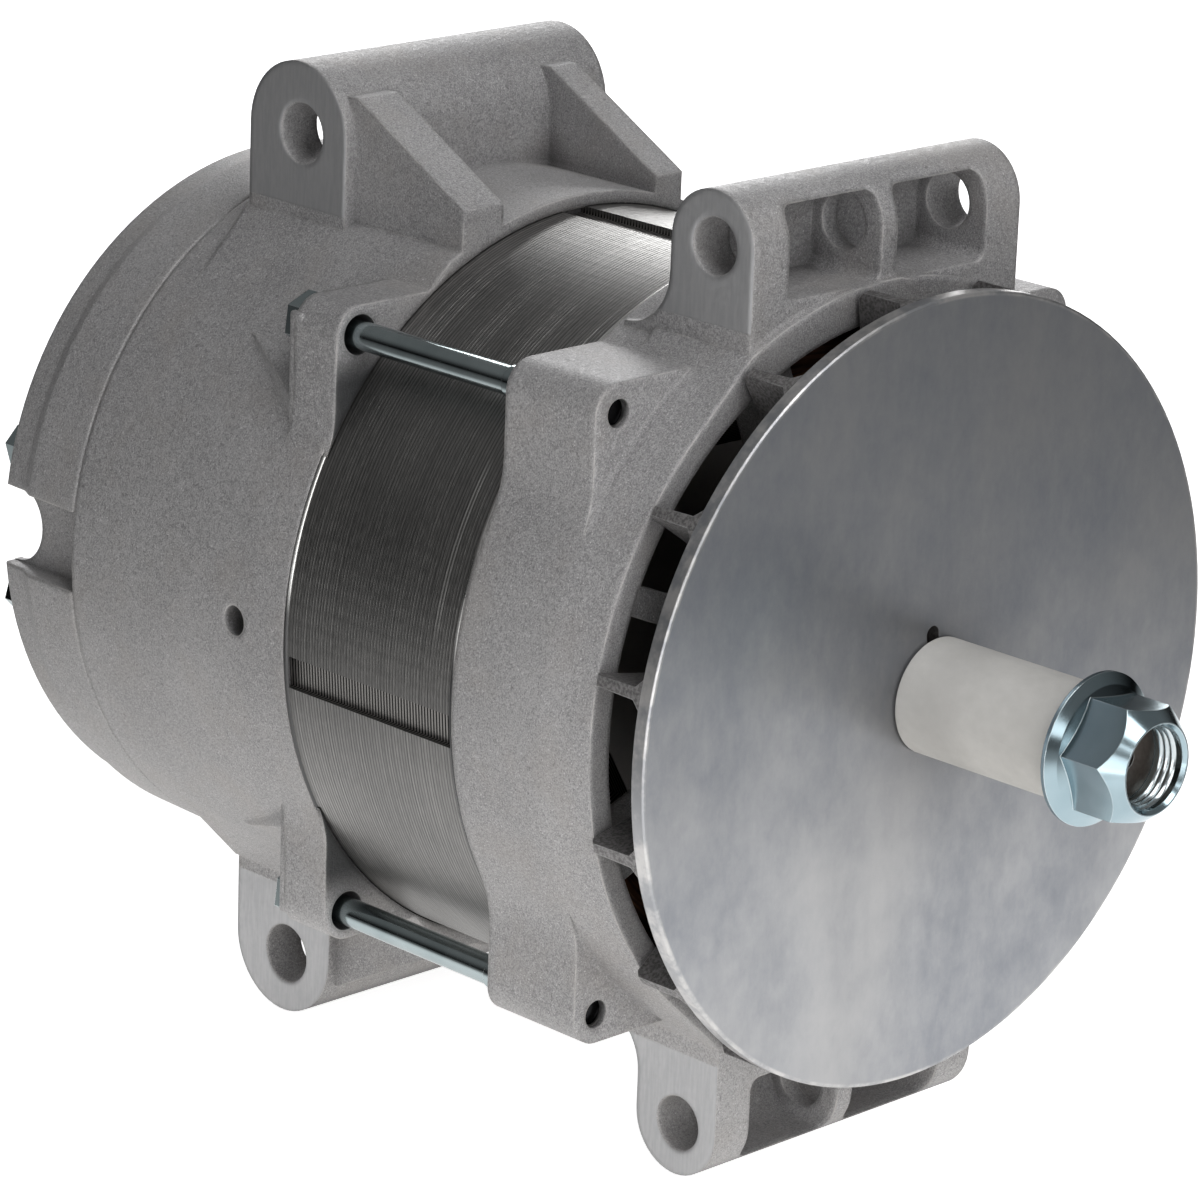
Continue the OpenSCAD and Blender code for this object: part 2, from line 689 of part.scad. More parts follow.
module fan() color("gray") turn_rotor() {
    hub_back_y = rim_y + 0.4;
    difference() {
        union() {
            from_mid_gap() turned() polygon([[0, 0], [fan_r - 0.4, 0], [fan_r, 0.4], [fan_r, fan_disc_t],
                                             [fan_hub_r + 6, fan_disc_t], [fan_hub_r, fan_disc_t + 6],
                                             [fan_hub_r, hub_back_y], [0, hub_back_y]]);
            intersection() {
                from_mid_gap() turned() polygon([[blade_root_r, fan_disc_t - 1], [fan_r, fan_disc_t - 1],
                                                 [fan_r, fan_disc_t + blade_len - 1.5],
                                                 [fan_r - 1.5, fan_disc_t + blade_len],
                                                 [blade_root_r + 8, fan_disc_t + blade_len]]);
                for (i = [0:fan_blades - 1]) rotate([0, -90 - i * 360 / fan_blades, 0]) blade(blade_t);
            }
        }
        bar(nose_r + fit, -1, hub_back_y + 1);
        key_slot(-1, hub_back_y + 1);
    }
}

// Starts a turned shape midway between two blades
module from_mid_gap() {
    rotate([0, -90 - 180 / fan_blades, 0]) children();
}

// One radial fan blade, flared where it joins the disc
module blade(t) {
    tip_y = fan_disc_t + blade_len;
    translate([blade_root_r - 2, 0, 0]) rotate([90, 0, 90]) linear_extrude(fan_r - blade_root_r + 3)
        polygon([[tip_y, -t / 2 + 0.3], [tip_y, t / 2 - 0.3], [fan_disc_t + blade_fillet, t / 2],
                 [fan_disc_t, t / 2 + blade_fillet], [fan_disc_t - 1, t / 2 + blade_fillet],
                 [fan_disc_t - 1, -t / 2 - blade_fillet], [fan_disc_t, -t / 2 - blade_fillet],
                 [fan_disc_t + blade_fillet, -t / 2]]);
}

// Turns a piece of the rotor from the key on top to where it stands
module turn_rotor() {
    rotate([0, -rotor_turn, 0]) children();
}

// The keyway above the shaft nose, with a round top
module key_slot(y0, y1) {
    top = nose_r + key_rise + 0.4;
    along(y0, y1) {
        translate([-key_w / 2 - 0.05, 0]) square([key_w + 0.1, top - key_w / 2]);
        translate([0, top - key_w / 2]) circle(key_w / 2 + 0.05);
    }
}

module shaft() color("lightgray") {
    chamfer = 1;
    difference() {
        union() {
            bar(nut_thread_r, -nose_len, -sleeve_len + 2);
            turned() polygon([[0, -nose_len], [nut_thread_r - chamfer, -nose_len],
                              [nut_thread_r, -nose_len + chamfer], [nut_thread_r, -sleeve_len + 2],
                              [nose_r, -sleeve_len + 3.5], [nose_r, rim_y + 0.5],
                              [bearing_seat_r, rim_y + 0.5],
                              [bearing_seat_r, drive_bearing_back_y + retainer_t + 3],
                              [rotor_seat_r + 2, drive_bearing_back_y + retainer_t + 3],
                              [rotor_seat_r + 2, rotor_y], [rotor_seat_r, rotor_y],
                              [rotor_seat_r, rotor_back_y + 4], [tail_r + 3, rotor_back_y + 4],
                              [tail_r + 3, rear_bearing_y - seat_gap], [tail_r, rear_bearing_y - seat_gap],
                              [tail_r, tail_end_y - chamfer], [tail_r - chamfer, tail_end_y],
                              [0, tail_end_y]]);
        }
        for (seat = [fan_key_span(), pulley_key_span()])
            turn_rotor() key_box(seat[0] - fit, seat[1] + fit, fit);
        bar(2.5, -nose_len - 1, -nose_len + 6);
    }
}

// Start and end of the fan key and of the pulley key
function fan_key_span() = [fan_disc_t, rim_y - 1];
function pulley_key_span() = [-24, -6];

// A key lying in the top of the shaft nose
module key_box(y0, y1, clear) {
    translate([-key_w / 2 - clear, y0, nose_r - key_depth - clear])
        cube([key_w + 2 * clear, y1 - y0, key_depth + 2]);
}

module fan_key() color("darkgray") {
    span = fan_key_span();
    turn_rotor() translate([-key_w / 2, span[0], nose_r - key_depth])
        cube([key_w, span[1] - span[0], key_depth + key_rise - key_w / 2]);
}

module pulley_key() color("darkgray") {
    span = pulley_key_span();
    turn_rotor() translate([-key_w / 2, span[0], nose_r - key_depth])
        cube([key_w, span[1] - span[0], key_depth + 1.2]);
}

module shipping_sleeve() color("antiquewhite") {
    end_round = 0.5;
    difference() {
        turned() polygon([[nose_r + fit, -sleeve_len], [sleeve_r - end_round, -sleeve_len],
                          [sleeve_r, -sleeve_len + end_round], [sleeve_r, -end_round - seat_gap],
                          [sleeve_r - end_round, -seat_gap], [nose_r + fit, -seat_gap]]);
        turn_rotor() along(-sleeve_len - 1, 1) translate([-key_w / 2 - 0.2, 0])
            square([key_w + 0.4, nose_r + 1.5]);
    }
}

module flange_nut() color("lightsteelblue") {
    corner_r2 = nut_flats / 2 / cos(30);
    mouth_r = nut_thread_r + 0.8;
    back_y = -sleeve_len - seat_gap;
    foot_y = -sleeve_len - flange_t;
    turn = 7.5;
    cone_len = 5;
    cone_slope = cone_len / (corner_r2 - mouth_r - 0.4);
    difference() {
        union() {
            rotate([0, turn, 0]) intersection() {
                hex(nut_flats, nut_y, foot_y + 1);
                turned() polygon([[0, nut_y], [mouth_r + 0.4, nut_y],
                                  [corner_r2 + 1, nut_y + cone_len + cone_slope],
                                  [corner_r2 + 1, foot_y + 1], [0, foot_y + 1]]);
            }
            turned() polygon([[0, back_y], [nut_flange_r, back_y], [nut_flange_r, -sleeve_len - 1],
                              [corner_r2 + 0.5, foot_y], [nut_flats / 2 - 1, foot_y - 1.4],
                              [0, foot_y - 1.4]]);
        }
        bar(nut_thread_r + fit, nut_y - 1, -sleeve_len + 1);
        turned() polygon([[0, nut_y - 1], [mouth_r + 1, nut_y - 1], [mouth_r, nut_y],
                          [nut_thread_r, nut_y + 1], [0, nut_y + 1]]);
        bar(nose_r + fit, -sleeve_len - 1.2, -sleeve_len + 1);
    }
}

module drive_spacer() color("darkgray") {
    turned() polygon([[bearing_seat_r + fit, rim_y + 0.5], [fan_hub_r - 5, rim_y + 0.5],
                      [bearing_seat_r + 5, drive_bearing_y - seat_gap],
                      [bearing_seat_r + fit, drive_bearing_y - seat_gap]]);
}

// Middle of the ball circle of a bearing
function pitch_r(seat_r, outer_r) = (seat_r + outer_r) / 2;

// Section of a bearing race with its ball groove
module race(r_in, r_out, y, w, pitch, ball_r) {
    edge = 0.8;
    turned() difference() {
        translate([r_in, y]) square([r_out - r_in, w]);
        translate([pitch, y + w / 2]) circle(ball_r + running_gap, $fn = 48);
        translate([r_out, y]) rotate(45) square(edge, center = true);
        translate([r_out, y + w]) rotate(45) square(edge, center = true);
    }
}

// Balls of a bearing, evenly spaced
module balls(count, pitch, y, r) {
    polar(pitch, [for (i = [0:count - 1]) i * 360 / count]) translate([0, y, 0]) sphere(r, $fn = 48);
}

// Cage that keeps the balls apart
module cage(count, pitch, y, r) {
    half = r * 0.34;
    difference() {
        ring(pitch - half, pitch + half, y - r * 1.25, y + r * 1.25);
        polar(pitch, [for (i = [0:count - 1]) i * 360 / count])
            translate([-half - 1, y, 0]) rotate([0, 90, 0])
                cylinder(r = r + running_gap, h = 2 * half + 2);
    }
}

drive_pitch_r = pitch_r(bearing_seat_r, drive_bearing_r);
drive_balls = 7;
rear_pitch_r = pitch_r(tail_r, rear_bearing_r);
rear_balls = 7;
land = 0.5;

module drive_bearing_inner_race() color("lightgray") {
    race(bearing_seat_r + fit, drive_pitch_r - drive_ball_r * land, drive_bearing_y, drive_bearing_w,
         drive_pitch_r, drive_ball_r);
}

module drive_bearing_outer_race() color("lightgray") {
    race(drive_pitch_r + drive_ball_r * land, drive_bearing_r, drive_bearing_y, drive_bearing_w,
         drive_pitch_r, drive_ball_r);
}

module drive_bearing_balls() color("gainsboro") {
    balls(drive_balls, drive_pitch_r, drive_bearing_y + drive_bearing_w / 2, drive_ball_r);
}

module drive_bearing_cage() color("darkgoldenrod") {
    cage(drive_balls, drive_pitch_r, drive_bearing_y + drive_bearing_w / 2, drive_ball_r);
}

module bearing_retainer() color("darkgray") {
    difference() {
        ring(bearing_seat_r + 3, retainer_r, drive_bearing_back_y + seat_gap,
             drive_bearing_back_y + retainer_t);
        polar(retainer_screw_r, screw_angles())
            bar(2.3, drive_bearing_back_y - 1, drive_bearing_back_y + retainer_t + 1);
    }
}

module retainer_screws() color("lightsteelblue") {
    seat_y = drive_bearing_back_y + retainer_t;
    polar(retainer_screw_r, screw_angles()) {
        bar(2, drive_bearing_y + 6, seat_y + 1);
        turned() polygon([[0, seat_y + seat_gap], [3.4, seat_y + seat_gap], [3.1, seat_y + 1.8],
                          [0, seat_y + 2.4]]);
    }
}

// One pole half with its claws, drawn with its disc at y = 0 and its claws towards +Y
module pole_half() {
    reach = pole_len - 2;
    core_len_half = (pole_len - 2 * pole_disc_t) / 2 - 0.05;
    difference() {
        union() {
            bar(claw_root_r - 2, 0, pole_disc_t);
            bar(coil_core_r, pole_disc_t - eps, pole_disc_t + core_len_half);
            intersection() {
                ring(claw_root_r - 8, rotor_r, 0, reach);
                for (i = [0:claws - 1]) rotate([0, i * 360 / claws, 0]) claw(reach);
            }
        }
        bar(rotor_seat_r + fit, -1, pole_len);
        for (i = [0:claws - 1]) rotate([0, (i + 0.5) * 360 / claws, 0])
            translate([claw_root_r - 6, -1, -14]) cube([20, pole_disc_t + 2, 28]);
        turned() polygon([[claw_root_r - 9, pole_disc_t], [claw_root_r, pole_disc_t],
                          [claw_root_r + 2, reach + 1], [claw_root_r - 9, reach + 1]]);
    }
}

// One claw, wide at the disc and narrow at its tip
module claw(reach) {
    root = claw_root_r * tan(90 / claws) * 1.24;
    tip = root * 0.3;
    translate([claw_root_r - 9, 0, 0]) rotate([90, 0, 90]) linear_extrude(claw_t + 12)
        polygon([[0, -root], [pole_disc_t, -root], [reach, -tip], [reach, tip],
                 [pole_disc_t, root], [0, root]]);
}

module front_pole_half() color("dimgray") translate([0, rotor_y + seat_gap, 0]) pole_half();

module rear_pole_half() color("dimgray")
    translate([0, rotor_back_y, 0]) mirror([0, 1, 0]) rotate([0, 180 / claws, 0]) pole_half();

module rotor_coil() color("peru") {
    seat = 0.4 + bobbin_t + seat_gap;
    ring(coil_core_r + 0.3 + bobbin_t + seat_gap, claw_root_r - 3, rotor_y + pole_disc_t + seat,
         rotor_back_y - pole_disc_t - seat);
}

module coil_bobbin() color("ivory") {
    y0 = rotor_y + pole_disc_t + 0.4;
    y1 = rotor_back_y - pole_disc_t - 0.4;
    r0 = coil_core_r + 0.3;
    turned() polygon([[r0, y0], [claw_root_r - 1.5, y0], [claw_root_r - 1.5, y0 + bobbin_t],
                      [r0 + bobbin_t, y0 + bobbin_t], [r0 + bobbin_t, y1 - bobbin_t],
                      [claw_root_r - 1.5, y1 - bobbin_t], [claw_root_r - 1.5, y1], [r0, y1]]);
}

module rear_bearing_inner_race() color("lightgray") {
    race(tail_r + fit, rear_pitch_r - rear_ball_r * land, rear_bearing_y, rear_bearing_w,
         rear_pitch_r, rear_ball_r);
}

module rear_bearing_outer_race() color("lightgray") {
    race(rear_pitch_r + rear_ball_r * land, rear_bearing_r, rear_bearing_y, rear_bearing_w - seat_gap,
         rear_pitch_r, rear_ball_r);
}

module rear_bearing_balls() color("gainsboro") {
    balls(rear_balls, rear_pitch_r, rear_bearing_y + rear_bearing_w / 2, rear_ball_r);
}

module rear_bearing_cage() color("darkgoldenrod") {
    cage(rear_balls, rear_pitch_r, rear_bearing_y + rear_bearing_w / 2, rear_ball_r);
}

module slip_rings() color("darkgoldenrod") {
    ring(ring_bore_r + fit, ring_r, rings_y, rings_y + ring_w);
    ring(ring_bore_r + fit, ring_r, ring_2_y, rings_end_y);
}

module slip_ring_insulator() color("maroon") {
    turned() polygon([[tail_r + fit, rings_y - 3], [ring_r - 0.5, rings_y - 3],
                      [ring_r - 0.5, rings_y - seat_gap], [ring_bore_r, rings_y - seat_gap],
                      [ring_bore_r, rings_end_y + 2], [tail_r + fit, rings_end_y + 2]]);
    ring(ring_bore_r - eps, ring_r - 0.8, rings_y + ring_w + seat_gap, ring_2_y - seat_gap);
}

brush_t = ring_w - 1.4;
brush_z = ring_r + running_gap;
brush_top_z = brush_z + brush_len;
holder_z = ring_r + 3;
spring_r = 4;
holder_top_z = brush_top_z + 2 * spring_r + 4.2;
holder_half_x = brush_w / 2 + 4;
holder_y0 = rings_y - 2.5;
holder_y1 = rings_end_y + 2.5;
holder_screw_x = holder_half_x + 6;
holder_foot_z = holder_z + 8;

// Start of each brush along the shaft
brush_starts = [rings_y + 0.7, ring_2_y + 0.7];

module brush_holder() color("saddlebrown") {
    difference() {
        union() {
            translate([-holder_half_x, holder_y0, holder_z])
                cube([2 * holder_half_x, holder_y1 - holder_y0, holder_top_z - holder_z]);
            for (side = [-1, 1])
                translate([side * holder_screw_x, 0, 0]) {
                    translate([-6, holder_y0, holder_foot_z]) cube([12, 6, 14]);
                    bar(4, wall_back_y + seat_gap, holder_y0 + 6, 0, holder_foot_z + 7);
                }
        }
        for (y = brush_starts) translate([-brush_w / 2 - running_gap, y - running_gap, holder_z - 1])
            cube([brush_w + 2 * running_gap, brush_t + 2 * running_gap, holder_top_z - holder_z - 1.4]);
        for (side = [-1, 1]) bar(2.2, wall_back_y - 1, holder_y0 + 7, side * holder_screw_x, holder_foot_z + 7);
    }
}

module brush_holder_screws() color("lightsteelblue") {
    for (side = [-1, 1]) translate([side * holder_screw_x, 0, holder_foot_z + 7]) {
        bar(2, wall_back_y + 0.5, holder_y0 + 7);
        bar(3.6, holder_y0 + 6 + seat_gap, holder_y0 + 8.6);
    }
}

// One carbon brush, hollowed at its end to ride on the ring
module brush(y) {
    difference() {
        translate([-brush_w / 2, y, 0]) cube([brush_w, brush_t, brush_top_z]);
        bar(brush_z, y - 1, y + brush_t + 1);
    }
}

module front_brush() color("dimgray") brush(brush_starts[0]);

module rear_brush() color("dimgray") brush(brush_starts[1]);

// A rolled ribbon spring that presses a brush down
module ribbon_spring(y) {
    half_width = 2.4;
    translate([0, y + brush_t / 2, brush_top_z + running_gap + spring_r])
        rotate([-90, 0, 0]) translate([0, 0, -half_width]) linear_extrude(2 * half_width) {
            for (k = [0:2]) difference() {
                circle(spring_r - k * 1.1, $fn = 48);
                circle(spring_r - k * 1.1 - 0.5, $fn = 48);
            }
            translate([1.1, -0.25]) square([spring_r - 1.4, 0.5]);
        }
}

module front_brush_spring() color("silver") ribbon_spring(brush_starts[0]);

module rear_brush_spring() color("silver") ribbon_spring(brush_starts[1]);

// Outline of a heat sink plate below the shaft
module plate_outline(sweep) {
    intersection() {
        difference() {
            circle(plate_out_r);
            circle(plate_in_r);
        }
        polygon([[0, 0], for (a = [-sweep:sweep / 4:sweep]) 160 * [sin(a), -cos(a)]]);
    }
}

module negative_heat_sink() color("silver") {
    difference() {
        along(negative_y, negative_y + plate_t) plate_outline(plate_sweep);
        polar(diode_ring_r, [for (a = diode_angles) a - 90])
            bar(diode_r + fit, negative_y - 1, negative_y + plate_t + 1);
        polar(post_ring_r, post_angles_all()) bar(2.3, negative_y - 1, negative_y + plate_t + 1);
    }
}

module positive_heat_sink() color("silver") {
    fin_h = 7;
    difference() {
        union() {
            along(positive_y, positive_y + plate_t) plate_outline(plate_sweep);
            intersection() {
                along(positive_y, positive_y + plate_t + fin_h) plate_outline(plate_sweep);
                for (i = [0:7]) ring(plate_in_r + 1 + i * 1.8 * 2, plate_in_r + 2.6 + i * 1.8 * 2,
                                     positive_y, positive_y + plate_t + fin_h);
            }
        }
        polar(diode_ring_r, [for (a = diode_angles) a - 90])
            bar(diode_r + 1.5, positive_y + plate_t - eps, positive_y + plate_t + fin_h + 1);
        polar(diode_ring_r, [for (a = diode_angles) a - 90])
            bar(diode_r + fit, positive_y - 1, positive_y + plate_t + 1);
        polar(post_ring_r, post_angles_all()) bar(2.3, positive_y - 1, positive_y + plate_t + 1);
        polar(post_ring_r, post_angles_all()) bar(5.4, positive_y + plate_t - eps, positive_y + 12);
        bar(stud_d / 2 + fit, positive_y - 1, positive_y + plate_t + 1, terminal_x, terminal_z);
        bar(9.4, positive_y + plate_t - eps, positive_y + 12, terminal_x, terminal_z);
    }
}

module rectifier_diodes() color("gainsboro") {
    for (y = [negative_y, positive_y]) polar(diode_ring_r, [for (a = diode_angles) a - 90])
        turned() polygon([[0, y - 2], [diode_r - 0.6, y - 2], [diode_r - 0.6, y], [diode_r, y],
                          [diode_r, y + plate_t + 0.6], [diode_r - 1, y + plate_t + 1.8], [3, y + plate_t + 1.8],
                          [1.2, y + plate_t + 4], [1.2, y + plate_t + 9], [0, y + plate_t + 9]]);
}

module heat_sink_insulators() color("saddlebrown") {
    polar(post_ring_r, post_angles_all()) difference() {
        bar(post_r, negative_y + plate_t + seat_gap, positive_y - seat_gap);
        bar(2.3, negative_y, positive_y + 1);
    }
}

module rectifier_screws() color("lightsteelblue") {
    head_y = positive_y + plate_t + seat_gap;
    polar(post_ring_r, post_angles_all()) {
        bar(2, wall_back_y + 2, head_y + 1);
        hex(7, head_y, head_y + 2.8);
    }
}

module phase_leads() color("peru") {
    polar(winding_mid_r, phase_angles()) bar(1.6, core_back_y + winding_reach + seat_gap, negative_y - 1);
}

regulator_x = plate_out_r - 55.4;
regulator_z = plate_out_r - 59.4;
regulator_size = [38, 16, 34];

module voltage_regulator() color("black") {
    foot = 3;
    difference() {
        union() {
            translate([regulator_x, wall_back_y + foot, regulator_z]) cube(regulator_size);
            for (x = [0, 1]) translate([regulator_x + x * (regulator_size[0] - 8), wall_back_y + seat_gap,
                                        regulator_z]) cube([8, foot + 1, regulator_size[2]]);
        }
        regulator_holes(2.3);
    }
}

// Screw holes at two opposite corners of the regulator
module regulator_holes(r) {
    for (k = [0, 1]) bar(r, wall_back_y - 1, wall_back_y + 30,
                         regulator_x + 4 + k * (regulator_size[0] - 8),
                         regulator_z + 5 + k * (regulator_size[2] - 10));
}

module regulator_screws() color("lightsteelblue") {
    top_y = wall_back_y + 3 + regulator_size[1];
    for (k = [0, 1]) translate([regulator_x + 4 + k * (regulator_size[0] - 8), 0,
                                regulator_z + 5 + k * (regulator_size[2] - 10)]) {
        bar(2, wall_back_y + 0.5, top_y + 1);
        bar(3.8, top_y + seat_gap, top_y + 2.6);
    }
}

module output_stud() color("lightsteelblue") {
    translate([terminal_x, 0, terminal_z]) {
        bar(stud_d / 2, positive_y - 1, cover_floor_back_y + 18);
        hex(stud_flats, positive_y - 5, positive_y - seat_gap);
        hex(stud_flats, positive_y + plate_t + seat_gap, positive_y + plate_t + 5);
    }
}

module output_insulator() color("saddlebrown") {
    translate([terminal_x, 0, terminal_z]) difference() {
        union() {
            bar(stud_d / 2 + 2.5, cover_floor_y - 2, cover_floor_back_y + 1);
            bar(stud_d / 2 + 5, cover_floor_back_y + seat_gap, cover_floor_back_y + 3);
        }
        bar(stud_d / 2 + fit, cover_floor_y - 3, cover_floor_back_y + 4);
    }
}

// A nut with its washer on a terminal stud
module stud_nut(y) {
    difference() {
        union() {
            bar(stud_flats / 2 + 1, y, y + 1.4);
            hex(stud_flats, y + 1.2, y + 7);
        }
        bar(stud_d / 2 + fit, y - 1, y + 8);
    }
}

module terminal_nuts() color("lightsteelblue") {
    translate([terminal_x, 0, terminal_z]) stud_nut(cover_floor_back_y + 3 + seat_gap);
    translate([ground_x, 0, terminal_z]) stud_nut(cover_floor_back_y + seat_gap);
}

module ground_stud() color("lightsteelblue") {
    translate([ground_x, 0, terminal_z]) {
        bar(stud_d / 2, cover_floor_y - 1, cover_floor_back_y + 15);
        hex(stud_flats, cover_floor_y - 6, cover_floor_y - seat_gap);
    }
}

module cover_bolts() color("lightsteelblue") {
    head_h = 5;
    polar(cover_bolt_r, cover_bolt_angles) {
        bar(cover_bolt_d / 2, rear_end_y - cover_bolt_reach, cover_end_y + 1);
        hex(cover_bolt_flats, cover_end_y + seat_gap, cover_end_y + head_h);
    }
}

drive_end_housing();
rear_housing();
rear_cover();
stator_core();
stator_windings();
through_bolts();
fan();
shaft();
fan_key();
pulley_key();
shipping_sleeve();
flange_nut();
drive_spacer();
drive_bearing_inner_race();
drive_bearing_outer_race();
drive_bearing_balls();
drive_bearing_cage();
bearing_retainer();
retainer_screws();
front_pole_half();
rear_pole_half();
rotor_coil();
coil_bobbin();
rear_bearing_inner_race();
rear_bearing_outer_race();
rear_bearing_balls();
rear_bearing_cage();
slip_rings();
slip_ring_insulator();
brush_holder();
brush_holder_screws();
front_brush();
rear_brush();
front_brush_spring();
rear_brush_spring();
negative_heat_sink();
positive_heat_sink();
rectifier_diodes();
heat_sink_insulators();
rectifier_screws();
phase_leads();
voltage_regulator();
regulator_screws();
output_stud();
output_insulator();
terminal_nuts();
ground_stud();
cover_bolts();
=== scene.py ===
"""Engine alternator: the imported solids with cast, machined and plated metal, ridges and threads."""

import math

import bmesh
import bpy
from mathutils import Matrix, Vector


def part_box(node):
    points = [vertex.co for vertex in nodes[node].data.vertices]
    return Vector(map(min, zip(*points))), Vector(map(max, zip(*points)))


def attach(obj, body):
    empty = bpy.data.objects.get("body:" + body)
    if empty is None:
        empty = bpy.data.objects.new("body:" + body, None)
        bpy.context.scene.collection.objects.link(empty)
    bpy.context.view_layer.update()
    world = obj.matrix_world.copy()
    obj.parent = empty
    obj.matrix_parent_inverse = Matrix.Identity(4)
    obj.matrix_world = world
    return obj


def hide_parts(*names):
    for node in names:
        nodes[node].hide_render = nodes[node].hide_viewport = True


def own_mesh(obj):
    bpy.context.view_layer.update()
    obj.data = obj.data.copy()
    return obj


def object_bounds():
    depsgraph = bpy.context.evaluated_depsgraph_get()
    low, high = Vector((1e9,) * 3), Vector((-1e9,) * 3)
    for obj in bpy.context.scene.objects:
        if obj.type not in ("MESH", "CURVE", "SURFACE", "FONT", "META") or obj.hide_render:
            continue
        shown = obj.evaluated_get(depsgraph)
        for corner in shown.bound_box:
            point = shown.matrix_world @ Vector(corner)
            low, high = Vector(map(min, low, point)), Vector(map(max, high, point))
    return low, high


MM = 0.001
FULL_TURN = 2 * math.pi

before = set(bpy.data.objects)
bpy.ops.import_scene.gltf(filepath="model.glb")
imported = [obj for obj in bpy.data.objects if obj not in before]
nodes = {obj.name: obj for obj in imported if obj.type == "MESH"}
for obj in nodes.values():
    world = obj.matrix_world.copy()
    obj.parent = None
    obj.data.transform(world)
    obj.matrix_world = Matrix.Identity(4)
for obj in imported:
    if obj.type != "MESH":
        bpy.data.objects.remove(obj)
cad_low, cad_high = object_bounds()


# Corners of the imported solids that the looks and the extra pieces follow

core_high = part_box("stator_core")[1]
drive_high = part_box("drive_end_housing")[1]
nut_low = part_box("flange_nut")[0]
shaft_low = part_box("shaft")[0]
disc_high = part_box("fan")[1]
bolt_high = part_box("through_bolts")[1]

# The fan's disc
DISC_R = disc_high.x
DISC_T = 3.6 * MM

# The core: its radius and the length that shows between the housings
CORE_R = core_high.x
CORE_FRONT = drive_high.y
CORE_BACK = CORE_FRONT + 59.3 * MM

# Weld grooves along the core: angles in degrees, width, depth, and the share of the width at the floor
GROOVE_ANGLES = (4.5, 92, 184.5, 272)
GROOVE_W = 8 * MM
GROOVE_D = 1.8 * MM
GROOVE_FLOOR = 0.99

# One ridge of the core, how deep its edges lie, the share that each slope takes, and where it ends
LAMINATION = 1.0 * MM
RIDGE_SUNK = 0.015 * MM
RIDGE_SLOPE = 0.1
RIDGE_END = 0.999

# How far a ridge stands out, and the waves that change it, as (height, turn from one ridge to the next)
RIDGE_OUT = 0.03 * MM
RIDGE_WAVES = ((0.012 * MM, 12.9898), (0.008 * MM, 4.1414))

# Where a painted highlight line runs round the left of the core
HIGHLIGHT_LINE_Y = CORE_FRONT + 8.2 * MM

# The through bolts beside the shaft and their heads, and the tapped corner bosses that they end in
BOLT_X = 72.3 * MM
BOLT_Z = 71.8 * MM
BOLT_HEAD_H = 4.2 * MM
CORNER_FRONT = 34.5 * MM
TAP_R = 3.4 * MM

# The collar behind each rear flange: its sides, foot, head, rise, sunk root and soft edges
FLANGE_SIDE = 79.3 * MM
COLLAR_INNER = BOLT_X - 6 * MM
COLLAR_FOOT = 46 * MM
COLLAR_HEAD = BOLT_Z + 3.5 * MM
COLLAR_RISE = 2.2 * MM
COLLAR_ROOT = 3 * MM
PAD_ROUND = 0.9 * MM

# The milled ends of the mounting lugs lie beyond these distances from the shaft
LUG_FACE_X = 40.5 * MM
LUG_FACE_Z = 88 * MM

# Cross-sections as (along, out): a bead in shares of its width and height, a thread of its pitch and depth
BEAD_PROFILE = ((-0.5, -0.4), (-0.36, 0.6), (-0.15, 1.0), (0.15, 1.0), (0.36, 0.6), (0.5, -0.4))
THREAD_PROFILE = ((-0.46, 0.03), (-0.1, -1.0), (0.1, -1.0), (0.46, 0.03))

# Steps round the core's ridges, its beads and one turn of a thread, and steps over which a thread fades
CORE_STEPS = 240
BEAD_STEPS = 288
THREAD_STEPS = 48
FADE_STEPS = 16

# Radius of the flange nut's thread
NUT_THREAD_R = 9.75 * MM

# Samples of the bevel and corner shading in each material
SHADE_SAMPLES = 6


